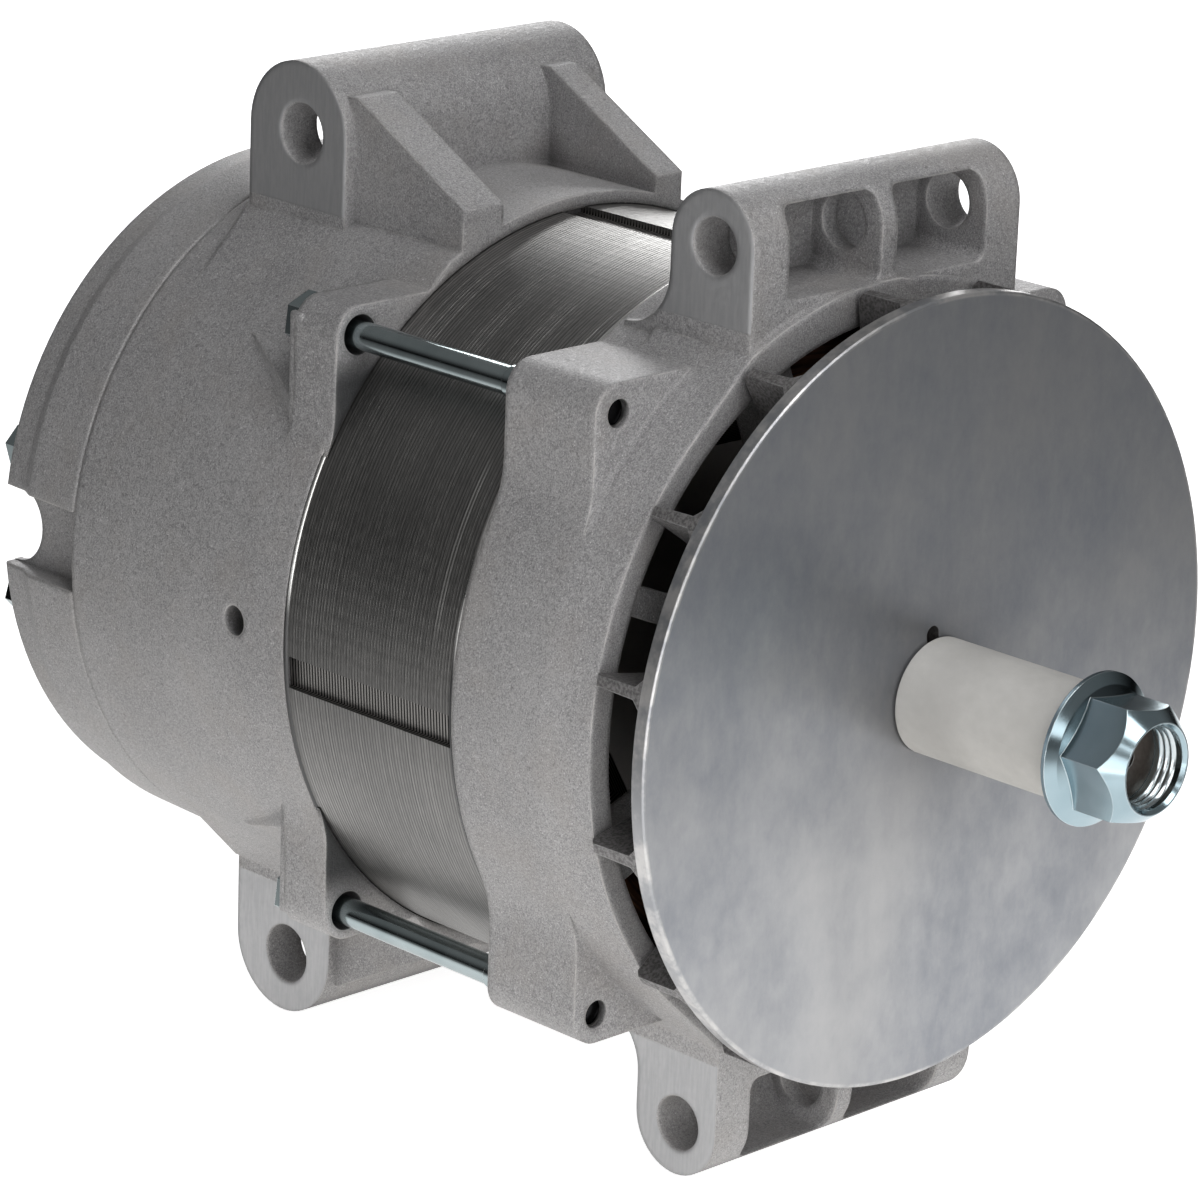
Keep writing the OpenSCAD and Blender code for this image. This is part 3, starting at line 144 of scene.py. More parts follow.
class Graph:
    """A material's node tree, with one short call for each node."""

    def __init__(self, name):
        self.material = bpy.data.materials.new(name)
        self.material.use_nodes = True
        self.tree = self.material.node_tree
        self.tree.nodes.clear()
        out = self.node("ShaderNodeOutputMaterial")
        self.shader = self.node("ShaderNodeBsdfPrincipled")
        self.tree.links.new(self.shader.outputs["BSDF"], out.inputs["Surface"])
        self.place = self.node("ShaderNodeTexCoord").outputs["Object"]
        self.normal = self.node("ShaderNodeNewGeometry").outputs["Normal"]
        self.x = self.axis(self.place, "X")
        self.y = self.axis(self.place, "Y")
        self.z = self.axis(self.place, "Z")

    def node(self, kind, **settings):
        """A new node with its settings."""
        made = self.tree.nodes.new(kind)
        for key, value in settings.items():
            setattr(made, key, value)
        return made

    def put(self, socket, value):
        """Links a socket to a socket, or sets it to a plain value."""
        if isinstance(value, bpy.types.NodeSocket):
            self.tree.links.new(value, socket)
        else:
            socket.default_value = value

    def math(self, operation, a, b=0.0):
        """One step of arithmetic on sockets or plain values."""
        made = self.node("ShaderNodeMath", operation=operation)
        self.put(made.inputs[0], a)
        self.put(made.inputs[1], b)
        return made.outputs[0]

    def both(self, first, *others):
        """The product of masks: 1 only where every one of them is."""
        for other in others:
            first = self.math("MULTIPLY", first, other)
        return first

    def blend(self, *parts):
        """The sum of values, each times its weight."""
        total = 0.0
        for value, weight in parts:
            total = self.math("ADD", total, self.math("MULTIPLY", value, weight))
        return total

    def axis(self, vector, name):
        """One coordinate of a vector."""
        made = self.node("ShaderNodeSeparateXYZ")
        self.put(made.inputs[0], vector)
        return made.outputs[name]

    def stretched(self, x, y, z, vector=None):
        """The place, scaled by a different factor along each axis."""
        made = self.node("ShaderNodeVectorMath", operation="MULTIPLY")
        self.put(made.inputs[0], vector or self.place)
        made.inputs[1].default_value = (x, y, z)
        return made.outputs[0]

    def radius(self):
        """Distance from the shaft's axis."""
        return self.math("SQRT", self.blend((self.x, self.x), (self.z, self.z)))

    def around(self):
        """The place as distance from the shaft, place along it and angle round it."""
        made = self.node("ShaderNodeCombineXYZ")
        self.put(made.inputs[0], self.radius())
        self.put(made.inputs[1], self.y)
        self.put(made.inputs[2], self.math("ARCTAN2", self.z, self.x))
        return made.outputs[0]

    def noise(self, scale, detail, roughness=0.5, vector=None):
        """Noise from 0 to 1 with so many cells a metre."""
        made = self.node("ShaderNodeTexNoise")
        self.put(made.inputs["Vector"], vector or self.place)
        made.inputs["Scale"].default_value = scale
        made.inputs["Detail"].default_value = detail
        made.inputs["Roughness"].default_value = roughness
        return made.outputs["Fac"]

    def span(self, value, from_low, from_high, to_low=0.0, to_high=1.0):
        """A value mapped from one range to another and held inside it."""
        made = self.node("ShaderNodeMapRange", interpolation_type="SMOOTHSTEP")
        self.put(made.inputs["Value"], value)
        made.inputs["From Min"].default_value = from_low
        made.inputs["From Max"].default_value = from_high
        made.inputs["To Min"].default_value = to_low
        made.inputs["To Max"].default_value = to_high
        return made.outputs["Result"]

    def mix(self, factor, a, b):
        """A colour between two colours."""
        made = self.node("ShaderNodeMix", data_type="RGBA")
        self.put(made.inputs["Factor"], factor)
        for name, value in (("A", a), ("B", b)):
            socket = [s for s in made.inputs if s.name == name and s.type == "RGBA"][0]
            self.put(socket, value if isinstance(value, bpy.types.NodeSocket) else (*value, 1.0))
        return [s for s in made.outputs if s.type == "RGBA"][0]

    def cover(self, colour, mask, strength, tone):
        """A colour with a tone laid over it where a mask is 1, as strongly as asked."""
        return self.mix(self.math("MULTIPLY", mask, strength), colour, tone)

    def rounded(self, radius):
        """The surface's normal with its edges rounded by a radius."""
        made = self.node("ShaderNodeBevel", samples=SHADE_SAMPLES)
        made.inputs["Radius"].default_value = radius
        return made.outputs["Normal"]

    def edges(self, radius):
        """1 on sharp edges within the radius and 0 on the flats, where the rounded normal hardly turns."""
        turn = self.node("ShaderNodeVectorMath", operation="DOT_PRODUCT")
        self.put(turn.inputs[0], self.rounded(radius))
        self.put(turn.inputs[1], self.normal)
        return self.span(turn.outputs["Value"], 0.995, 0.86)

    def open_sky(self, distance):
        """1 on open surfaces and 0 deep in corners."""
        made = self.node("ShaderNodeAmbientOcclusion", samples=SHADE_SAMPLES)
        made.inputs["Distance"].default_value = distance
        return made.outputs["AO"]

    def bump(self, height, distance, strength, soft_edge=0.0):
        """Sets the shader's normal from a height, over edges rounded by a small radius."""
        made = self.node("ShaderNodeBump")
        made.inputs["Strength"].default_value = strength
        made.inputs["Distance"].default_value = distance
        self.put(made.inputs["Height"], height)
        if soft_edge:
            self.put(made.inputs["Normal"], self.rounded(soft_edge))
        self.put(self.shader.inputs["Normal"], made.outputs["Normal"])

    def finish(self, colour, roughness, metallic):
        """Sets the colour, roughness and metal of the surface and gives its material."""
        self.put(self.shader.inputs["Base Color"], colour)
        self.put(self.shader.inputs["Roughness"], roughness)
        self.put(self.shader.inputs["Metallic"], metallic)
        return self.material


# Materials

def cast_colour(g, grain, clumps):
    """Grey with warm patches, bright flecks and dark pits."""
    tone = g.blend((grain, 0.62), (clumps, 0.18), (g.noise(17, 3), 0.2))
    colour = g.mix(g.span(tone, 0.36, 0.64), (0.26, 0.256, 0.26), (0.53, 0.522, 0.526))
    warm = g.span(g.noise(55, 4, 0.6), 0.45, 0.7)
    colour = g.cover(colour, warm, 0.3, (0.40, 0.372, 0.352))
    flecks = g.span(g.noise(2600, 1), 0.64, 0.74)
    colour = g.cover(colour, flecks, 0.6, (0.86, 0.85, 0.86))
    pits = g.span(g.noise(800, 2, vector=g.stretched(1.0, 1.3, 0.9)), 0.33, 0.27)
    return g.cover(colour, pits, 0.4, (0.13, 0.12, 0.12))


def flange_face_shade(g):
    """1 on the front faces of the rear flanges, where they reach forward beside the core: the place where
    shade is painted.
    """
    along = g.both(g.span(g.y, CORE_BACK, CORE_BACK - 0.2 * MM), g.span(g.y, 100 * MM, 110 * MM))
    forward = g.span(g.axis(g.normal, "Y"), -0.8, -0.95)
    level = g.span(g.math("ABSOLUTE", g.z), 71 * MM, 60 * MM)
    return g.both(along, forward, level)


def mouth_wall_shade(g):
    """1 on the walls round the fan that face the shaft, ahead of the corner bosses: the place where shade is
    painted.
    """
    outward = g.blend((g.axis(g.normal, "X"), g.x), (g.axis(g.normal, "Z"), g.z))
    inward = g.span(outward, -30 * MM, -60 * MM)
    ahead = g.span(g.y, CORNER_FRONT, CORNER_FRONT - 2 * MM)
    near = g.span(g.radius(), 101.5 * MM, 100.5 * MM)
    return g.both(inward, ahead, near)


def cast_metal(name, machined=None):
    """Sand-cast aluminium with painted shade in the corners, worn edges with a painted edge highlight and,
    where a mask is given, milled faces.
    """
    g = Graph(name)
    grain = g.noise(2300, 3, 0.65)
    clumps = g.noise(760, 2)
    colour = cast_colour(g, grain, clumps)
    # painted shade: corners and recesses darkened where less light reaches them
    corners = g.span(g.open_sky(11 * MM), 0.72, 0.2)
    colour = g.cover(colour, corners, 0.8, (0.08, 0.078, 0.08))
    # painted shade: the flange faces beside the core darkened as if in deep shadow
    colour = g.cover(colour, flange_face_shade(g), 0.9, (0.03, 0.032, 0.034))
    # painted shade: the walls inside the mouth round the fan darkened as if in shadow
    colour = g.cover(colour, mouth_wall_shade(g), 0.85, (0.03, 0.03, 0.032))
    # wear and painted edge highlight: open convex edges lightened in ragged patches
    wear_and_edge_highlight = g.both(g.edges(0.8 * MM), g.span(g.noise(140, 2), 0.35, 0.65, 0.1, 0.75))
    wear_and_edge_highlight = g.both(wear_and_edge_highlight, g.span(g.open_sky(4 * MM), 0.45, 0.8))
    colour = g.mix(wear_and_edge_highlight, colour, (0.72, 0.70, 0.68))
    height = g.blend((grain, 1.0), (clumps, 0.8))
    rough = g.span(clumps, 0.3, 0.7, 0.52, 0.68)
    metal = 0.35
    if machined:
        flat = machined(g)
        lines = g.noise(500, 2, vector=g.stretched(0.2, 3.0, 0.35))
        clean = g.mix(g.span(lines, 0.3, 0.7), (0.43, 0.432, 0.442), (0.48, 0.48, 0.487))
        colour = g.mix(flat, colour, clean)
        height = g.both(height, g.math("SUBTRACT", 1.0, g.math("MULTIPLY", flat, 0.92)))
        rough = g.math("SUBTRACT", rough, g.math("MULTIPLY", flat, 0.2))
        metal = g.span(flat, 0.0, 1.0, metal, 0.6)
    g.bump(height, 0.16 * MM, 0.8, 2.2 * MM)
    return g.finish(colour, rough, metal)


def lug_faces(g):
    """1 on the milled ends of the mounting lugs."""
    facing_side = g.span(g.math("ABSOLUTE", g.axis(g.normal, "X")), 0.97, 0.995)
    beyond_x = g.span(g.math("ABSOLUTE", g.x), LUG_FACE_X, LUG_FACE_X + 0.5 * MM)
    beyond_z = g.span(g.math("ABSOLUTE", g.z), LUG_FACE_Z, LUG_FACE_Z + 0.5 * MM)
    return g.both(facing_side, beyond_z, beyond_x)


def fan_face(g, tone):
    """The fan's turned face: clouded, warmer in places, with a painted shadow near the sleeve."""
    face = g.mix(g.span(tone, 0.28, 0.72), (0.225, 0.242, 0.275), (0.44, 0.44, 0.446))
    warm = g.span(g.noise(14, 2, vector=g.stretched(1.0, 1.0, 0.7)), 0.5, 0.75)
    face = g.cover(face, warm, 0.3, (0.39, 0.38, 0.37))
    # painted shadow: the disc darkened round the sleeve's base
    sleeve_shadow = g.span(g.open_sky(34 * MM), 0.97, 0.62)
    return g.cover(face, sleeve_shadow, 0.55, (0.13, 0.13, 0.135))


def fan_back(g, grain):
    """The fan's cast back and blades, with painted shade in the corners."""
    back = g.mix(g.span(grain, 0.35, 0.65), (0.16, 0.155, 0.155), (0.32, 0.312, 0.31))
    # painted shade: corners between back and blades darkened by an occlusion mask
    return g.mix(g.span(g.open_sky(12 * MM), 0.7, 0.2, 0.0, 0.7), back, (0.07, 0.068, 0.066))


def fan_metal():
    """The fan: a turned face and a ragged bright rim on a cast back with blades."""
    g = Graph("fan_metal")
    front = g.span(g.axis(g.normal, "Y"), -0.9, -0.98)
    rim = g.span(g.radius(), DISC_R - 1.2 * MM, DISC_R - 0.6 * MM)
    turned = g.math("MAXIMUM", front, g.both(rim, g.span(g.y, DISC_T, DISC_T - 0.2 * MM)))
    wisps = g.noise(42, 6, 0.7, vector=g.stretched(1.15, 1.0, 0.85))
    smear = g.noise(300, 4, 0.7, vector=g.stretched(1.0, 1.0, 0.5))
    tone = g.blend((g.noise(11, 4, 0.6), 0.5), (wisps, 0.35), (smear, 0.15))
    grain = g.noise(1300, 3, 0.6)
    colour = g.mix(turned, fan_back(g, grain), fan_face(g, tone))
    ragged = g.span(g.noise(90, 4, 0.7), 0.4, 0.62, 0.1, 0.8)
    # painted highlight: sharp edges lightened, broken up by noise
    colour = g.cover(colour, g.edges(0.5 * MM), ragged, (0.55, 0.55, 0.55))
    colour = g.cover(colour, g.both(rim, turned), ragged, (0.66, 0.645, 0.63))
    cast = g.math("SUBTRACT", 1.0, turned)
    rings = g.noise(1, 2, 0.6, vector=g.stretched(2600, 1.0, 6.0, g.around()))
    g.bump(g.blend((grain, cast), (g.both(rings, turned), 0.25)), 0.08 * MM, 0.6, 0.3 * MM)
    rough = g.math("ADD", g.span(tone, 0.35, 0.65, 0.42, 0.30), g.math("MULTIPLY", cast, 0.25))
    return g.finish(colour, rough, 0.85)


def painted_highlight_line(g):
    """1 on a narrow line round the left of the core, above the middle, where a highlight is painted."""
    start = g.span(g.y, HIGHLIGHT_LINE_Y - 0.9 * MM, HIGHLIGHT_LINE_Y - 0.5 * MM)
    end = g.span(g.y, HIGHLIGHT_LINE_Y + 1.1 * MM, HIGHLIGHT_LINE_Y + 0.7 * MM)
    left = g.span(g.x, -CORE_R * 0.8, -CORE_R * 0.86)
    above = g.span(g.z, 8 * MM, 22 * MM)
    return g.both(start, end, left, above)


def laminated_steel():
    """Stacked laminations: dark steel, a tone of its own for each sheet, and bright teeth in the grooves."""
    g = Graph("laminated_steel")
    sheets = g.noise(1, 0, 0.5, vector=g.stretched(0.0, 1900, 0.0))
    streaks = g.noise(1, 3, 0.6, vector=g.stretched(30, 2600, 34, g.around()))
    tone = g.blend((sheets, 0.35), (streaks, 0.3), (g.noise(18, 3), 0.35))
    colour = g.mix(g.span(tone, 0.34, 0.66), (0.177, 0.175, 0.171), (0.347, 0.339, 0.328))
    wave = g.math("SINE", g.math("MULTIPLY", g.y, FULL_TURN / LAMINATION))
    colour = g.mix(g.span(wave, 0.2, -0.9, 0.0, 0.55), colour, (0.045, 0.045, 0.046))
    deep = g.span(g.radius(), CORE_R - 0.5 * MM, CORE_R - 1.3 * MM)
    toothed = g.mix(g.span(wave, -0.5, 0.5), (0.02, 0.02, 0.02), (0.40, 0.385, 0.37))
    colour = g.mix(deep, colour, toothed)
    # painted highlight: a bright line across the raised sheets, standing in for a reflection
    painted_highlight = g.both(painted_highlight_line(g), g.span(wave, 0.0, 0.7))
    colour = g.cover(colour, painted_highlight, 0.8, (0.75, 0.74, 0.72))
    g.bump(g.blend((sheets, 1.0), (streaks, 0.2)), 0.02 * MM, 0.5)
    return g.finish(colour, g.span(streaks, 0.3, 0.7, 0.38, 0.46), 0.95)


def plated(name, dark, light, roughness, dark_end=None):
    """Zinc plating: painted shade in the corners, a painted highlight on the edges and, ahead of one place,
    a near-black end.
    """
    g = Graph(name)
    clouds = g.noise(90, 2)
    fine = g.noise(700, 2)
    colour = g.mix(g.span(g.blend((clouds, 0.9), (fine, 0.1)), 0.1, 0.9), dark, light)
    # painted shade: corners darkened by an occlusion mask
    corners = g.span(g.open_sky(3 * MM), 0.6, 0.2)
    colour = g.cover(colour, corners, 0.3, (0.10, 0.09, 0.08))
    # painted highlight: edges brightened to near white
    colour = g.cover(colour, g.edges(0.3 * MM), 0.7, (0.92, 0.95, 0.96))
    if dark_end:
        # near black along the shaft ahead of one place
        near_black_end = g.span(g.y, dark_end, dark_end - 2 * MM)
        colour = g.mix(near_black_end, colour, (0.012, 0.012, 0.013))
    g.bump(fine, 0.002 * MM, 0.5, 0.25 * MM)
    return g.finish(colour, g.span(clouds, 0.3, 0.7, roughness - 0.02, roughness + 0.03), 1.0)


def steel(name, tone, roughness, shade_below_height=None):
    """Ground metal with faint lines round the shaft, a painted highlight on the edges, and painted shade
    below a height if that is given.
    """
    g = Graph(name)
    rings = g.noise(1, 2, 0.6, vector=g.stretched(900, 2500, 5, g.around()))
    clouds = g.noise(70, 3)
    mixed = g.blend((rings, 0.5), (clouds, 0.5))
    low = tuple(channel * 0.72 for channel in tone)
    colour = g.mix(g.span(mixed, 0.35, 0.65), low, tone)
    # painted highlight: edges lightened toward white
    colour = g.cover(colour, g.edges(0.3 * MM), 0.6, (0.8, 0.8, 0.8))
    if shade_below_height:
        # painted shade: darkened below a height, where the highlight does not fall
        painted_low_shade = g.span(g.z, shade_below_height, shade_below_height - 12 * MM)
        colour = g.mix(painted_low_shade, colour, (0.09, 0.09, 0.09))
    g.bump(mixed, 0.03 * MM, 0.5, 0.2 * MM)
    return g.finish(colour, g.span(clouds, 0.3, 0.7, roughness - 0.06, roughness + 0.1), 1.0)


def sleeve_plastic():
    """The off-white moulded sleeve: matt, with faint rub marks and a painted shadow band near the disc."""
    g = Graph("sleeve_plastic")
    rubs = g.noise(1, 3, 0.6, vector=g.stretched(60, 260, 5, g.around()))
    tone = g.blend((g.noise(45, 3, 0.55), 0.7), (rubs, 0.3))
    colour = g.mix(g.span(tone, 0.3, 0.7), (0.53, 0.52, 0.497), (0.63, 0.617, 0.592))
    # painted shadow: a darker band a little way back from the disc
    painted_shadow_band = g.both(g.span(g.y, -24 * MM, -15 * MM), g.span(g.y, -4 * MM, -11 * MM))
    colour = g.cover(colour, painted_shadow_band, 0.3, (0.40, 0.39, 0.375))
    fine = g.noise(1500, 2)
    g.bump(g.math("ADD", fine, rubs), 0.02 * MM, 0.5, 0.4 * MM)
    return g.finish(colour, g.span(fine, 0.3, 0.7, 0.5, 0.62), 0.0)


def winding_copper():
    """Varnished copper wire laid in fine turns."""
    g = Graph("winding_copper")
    turns = g.noise(1, 1, vector=g.stretched(900, 120, 4, g.around()))
    clouds = g.noise(60, 3)
    colour = g.mix(g.span(turns, 0.35, 0.65), (0.05, 0.02, 0.012), (0.16, 0.07, 0.035))
    colour = g.mix(g.span(clouds, 0.5, 0.75, 0.0, 0.5), colour, (0.03, 0.012, 0.008))
    g.bump(turns, 0.2 * MM, 0.8)
    return g.finish(colour, g.span(clouds, 0.3, 0.7, 0.28, 0.42), 0.8)


def moulding(name, low, high, roughness=0.5):
    """Moulded resin or carbon with a fine grain and a painted highlight on the edges."""
    g = Graph(name)
    grain = g.noise(1400, 2)
    clouds = g.noise(60, 3)
    tone = g.blend((grain, 0.5), (clouds, 0.5))
    colour = g.mix(g.span(tone, 0.35, 0.65), low, high)
    # painted highlight: the edges lightened evenly
    painted_highlight = tuple(min(1.0, channel * 1.8 + 0.03) for channel in high)
    colour = g.cover(colour, g.edges(0.3 * MM), 0.5, painted_highlight)
    g.bump(grain, 0.04 * MM, 0.5, 0.3 * MM)
    return g.finish(colour, g.span(clouds, 0.3, 0.7, roughness - 0.07, roughness + 0.1), 0.0)


def dress(material, *names):
    """Gives CAD nodes their material."""
    for name in names:
        mesh = nodes[name].data
        mesh.materials.clear()
        mesh.materials.append(material)


def dress_all():
    """Sets the material of each CAD node."""
    dress(cast_metal("cast_housing", lug_faces), "drive_end_housing", "rear_housing")
    dress(cast_metal("cast_cover"), "rear_cover")
    dress(cast_metal("cast_heat_sinks"), "negative_heat_sink", "positive_heat_sink")
    dress(laminated_steel(), "stator_core", "front_pole_half", "rear_pole_half")
    dress(fan_metal(), "fan")
    dress(plated("bright_zinc", (0.29, 0.385, 0.425), (0.38, 0.475, 0.515), 0.16),
          "flange_nut", "terminal_nuts", "retainer_screws", "rectifier_screws",
          "regulator_screws", "brush_holder_screws", "output_stud", "ground_stud")
    dress(plated("bolt_zinc", (0.30, 0.36, 0.37), (0.44, 0.50, 0.51), 0.15, dark_end=CORE_FRONT - 8 * MM),
          "through_bolts", "cover_bolts")
    dress(steel("shaft_steel", (0.19, 0.16, 0.14), 0.48), "shaft", "drive_spacer", "bearing_retainer",
          "fan_key", "pulley_key")
    dress(steel("bearing_steel", (0.62, 0.62, 0.62), 0.22), "drive_bearing_inner_race",
          "drive_bearing_outer_race", "rear_bearing_inner_race", "rear_bearing_outer_race",
          "drive_bearing_balls", "rear_bearing_balls", "rectifier_diodes", "front_brush_spring",
          "rear_brush_spring")
    dress(steel("cage_brass", (0.62, 0.42, 0.16), 0.3), "drive_bearing_cage", "rear_bearing_cage",
          "slip_rings")
    dress(sleeve_plastic(), "shipping_sleeve")
    dress(winding_copper(), "stator_windings", "rotor_coil", "phase_leads")
    dress(moulding("bobbin_nylon", (0.50, 0.47, 0.38), (0.62, 0.59, 0.50)), "coil_bobbin")
    dress(moulding("black_resin", (0.012, 0.012, 0.013), (0.03, 0.03, 0.032)), "voltage_regulator",
          "output_insulator", "brush_holder", "slip_ring_insulator", "heat_sink_insulators")
    dress(moulding("brush_carbon", (0.02, 0.02, 0.021), (0.05, 0.05, 0.052), 0.6), "front_brush",
          "rear_brush")


# Pieces

def piece(name, mesh_data, body, material, smooth=True):
    """Links a finished bmesh as a piece that rides on a body."""
    mesh = bpy.data.meshes.new(name)
    bmesh.ops.recalc_face_normals(mesh_data, faces=mesh_data.faces)
    mesh_data.to_mesh(mesh)
    mesh_data.free()
    for polygon in mesh.polygons:
        polygon.use_smooth = smooth
    obj = bpy.data.objects.new(name, mesh)
    bpy.context.scene.collection.objects.link(obj)
    mesh.materials.append(material)
    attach(obj, body)
    return obj


def on_circle(angle, radius, y, centre=(0.0, 0.0)):
    """A point at an angle and a distance round the shaft, or round another (x, z) centre."""
    return (centre[0] + radius * math.cos(angle), y, centre[1] + radius * math.sin(angle))


def stitch(work, rows, closed=False):
    """Fills the strips between neighbouring rows of points, all the way round each row if closed."""
    for near, far in zip(rows, rows[1:]):
        size = len(near)
        for j in range(size if closed else size - 1):
            k = (j + 1) % size
            work.faces.new((near[j], near[k], far[k], far[j]))


def in_groove(angle, half):
    """Whether an angle round the core lies in a weld groove of that half angle."""
    for centre in GROOVE_ANGLES:
        away = (angle - math.radians(centre) + math.pi) % FULL_TURN - math.pi
        if abs(away) < half:
            return True
    return False


def core_outline(radius):
    """Points round the core as (angle, radius), dipping into each weld groove."""
    points = []
    half = math.asin(GROOVE_W / 2 / CORE_R)
    for i in range(CORE_STEPS):
        angle = FULL_TURN * i / CORE_STEPS
        if not in_groove(angle, half):
            points.append((angle, radius))
    for centre in GROOVE_ANGLES:
        middle = math.radians(centre)
        for side in (-1, 1):
            points.append((middle + side * half, radius))
            points.append((middle + side * half * GROOVE_FLOOR, radius - GROOVE_D))
    return sorted((angle % FULL_TURN, r) for angle, r in points)


def lamination_skin(material):
    """The outside of the core as stacked ridges, each standing out by a little of its own."""
    work = bmesh.new()
    low = core_outline(CORE_R - RIDGE_SUNK)
    rings = []
    for i in range(round((CORE_BACK - CORE_FRONT) / LAMINATION)):
        start = CORE_FRONT + i * LAMINATION
        change = sum(height * math.sin(i * turn) for height, turn in RIDGE_WAVES)
        high = core_outline(CORE_R + RIDGE_OUT + change)
        for part, outline in ((0, low), (RIDGE_SLOPE, high), (1 - RIDGE_SLOPE, high), (RIDGE_END, low)):
            y = start + part * LAMINATION
            rings.append([work.verts.new(on_circle(angle, r, y)) for angle, r in outline])
    stitch(work, rings, closed=True)
    return piece("core_laminations", work, "stator", material, smooth=False)


def pad(name, outline, near, far, material):
    """A cast pad with soft edges, drawn along the shaft from (x, z) points."""
    work = bmesh.new()
    front = [work.verts.new((x, near, z)) for x, z in outline]
    back = [work.verts.new((x, far, z)) for x, z in outline]
    work.faces.new(front)
    work.faces.new(back)
    stitch(work, [front, back], closed=True)
    bmesh.ops.bevel(work, geom=work.edges[:], offset=PAD_ROUND, segments=3, affect="EDGES", profile=0.5)
    return piece(name, work, "stator", material)


def corner_collars(material):
    """Behind each rear flange: a low collar that half hides the bolt head."""
    back = bolt_high.y - BOLT_HEAD_H
    outline = ((COLLAR_INNER, COLLAR_FOOT), (FLANGE_SIDE, COLLAR_FOOT),
               (FLANGE_SIDE, COLLAR_HEAD), (COLLAR_INNER, COLLAR_HEAD))
    for side, side_word in ((-1, "left"), (1, "right")):
        for level, level_word in ((-1, "lower"), (1, "upper")):
            name = level_word + "_" + side_word + "_collar"
            turned = [(side * x, level * z) for x, z in outline]
            pad(name, turned, back - COLLAR_ROOT, back + COLLAR_RISE, material)


def core_bead(name, y, width, height, material):
    """A bare bright bead round one end of the core."""
    work = bmesh.new()
    rings = []
    for i in range(BEAD_STEPS):
        angle = FULL_TURN * i / BEAD_STEPS
        rings.append([work.verts.new(on_circle(angle, CORE_R + out * height, y + along * width))
                      for along, out in BEAD_PROFILE])
    stitch(work, rings + rings[:1])
    return piece(name, work, "stator", material)


def core_beads():
    """The bright beads where the core goes into each housing, with painted shade below a height so that they
    shine only higher up.
    """
    bare = steel("bare_edge", (0.80, 0.79, 0.77), 0.3, shade_below_height=18 * MM)
    core_bead("core_front_bead", CORE_FRONT + 1.2 * MM, 1.6 * MM, 0.45 * MM, bare)
    core_bead("core_rear_bead", CORE_BACK - 0.7 * MM, 1.2 * MM, 0.45 * MM, bare)


def thread(name, body, material, centre, radius, start, end, pitch, depth):
    """A helical ridge on the wall of a hole that runs along the shaft's direction."""
    work = bmesh.new()
    turns = (end - start) / pitch
    steps = int(turns * THREAD_STEPS)
    rows = []
    for i in range(steps + 1):
        part = i / steps
        y = start + (end - start) * part
        fade = min(1.0, part * steps / FADE_STEPS, (1 - part) * steps / FADE_STEPS)
        row = []
        for along, out in THREAD_PROFILE:
            r = radius + out * depth * (fade if out < 0 else 1.0)
            row.append(work.verts.new(on_circle(FULL_TURN * turns * part, r, y + along * pitch, centre)))
        rows.append(row)
    stitch(work, rows)
    return piece(name, work, body, material)


def threads():
    """The threads that show inside the nut and the tapped corner holes."""
    zinc = plated("thread_zinc", (0.36, 0.40, 0.42), (0.62, 0.67, 0.68), 0.18)
    thread("nut_thread", "rotor", zinc, centre=(0, 0), radius=NUT_THREAD_R + 0.1 * MM,
           start=nut_low.y + 1.6 * MM, end=shaft_low.y - 0.8 * MM, pitch=1.8 * MM, depth=0.9 * MM)
    cut = steel("cut_aluminium", (0.42, 0.41, 0.40), 0.35)
    corners = ((-BOLT_X, BOLT_Z), (-BOLT_X, -BOLT_Z), (BOLT_X, BOLT_Z), (BOLT_X, -BOLT_Z))
    for i, corner in enumerate(corners):
        thread("corner_thread_" + str(i), "stator", cut, centre=corner,
               radius=TAP_R + 0.05 * MM, start=CORNER_FRONT + 0.9 * MM, end=CORNER_FRONT + 2.2 * MM,
               pitch=1.25 * MM, depth=0.45 * MM)


def soft_springs():
    """The ribbon springs, copied from their solids onto the stator body, with the solids hidden."""
    for end in ("front", "rear"):
        solid = nodes[end + "_brush_spring"]
        ribbon = bpy.data.objects.new(end + "_spring_ribbon", solid.data.copy())
        bpy.context.scene.collection.objects.link(ribbon)
        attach(ribbon, "stator")
        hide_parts(solid.name)
        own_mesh(ribbon)


# Camera, light and floor

# The photograph's view, fitted to named edges: azimuth -44.9, elevation 17.4 and a slight roll
CAMERA_PLACE = (-0.8811, -0.7724, 0.3858)
CAMERA_FORWARD = (0.6741, 0.6756, -0.2987)
CAMERA_RIGHT = (0.7152, -0.6980, 0.0354)
CAMERA_LENS = 159.684

# How bright the room is overhead, and how high up it gets there from the dark horizon
ROOM_BRIGHT = 0.19
ROOM_RISE = 0.6

# The table's width in metres, the gap under the object, and the tones of the table and of the paper
TABLE_SIZE = 9
TABLE_GAP = 0.5 * MM
TABLE_TONE = (0.34, 0.34, 0.34)
PAPER_TONE = (0.86, 0.86, 0.86)

# The paper's sides would meet this far ahead of the origin; it fades out between two shares of its width
PAPER_START = 1.17
PAPER_NARROWEST = 0.05
PAPER_FADE_START = 0.15
PAPER_FADE_END = 0.42

# The paper's glow in reflections, its glow on dull surfaces with a warm tint, and what the camera adds
PAPER_SEEN = 0.7
PAPER_SPREAD = 0.48
PAPER_WARMTH = (1.0, 0.955, 0.875)
PAPER_BRIGHTER = 0.16


def aim(obj, location, right, up, forward):
    """Places an object so that it looks along forward."""
    turn = Matrix((right, up, -forward)).transposed()
    obj.matrix_world = Matrix.Translation(location) @ turn.to_4x4()


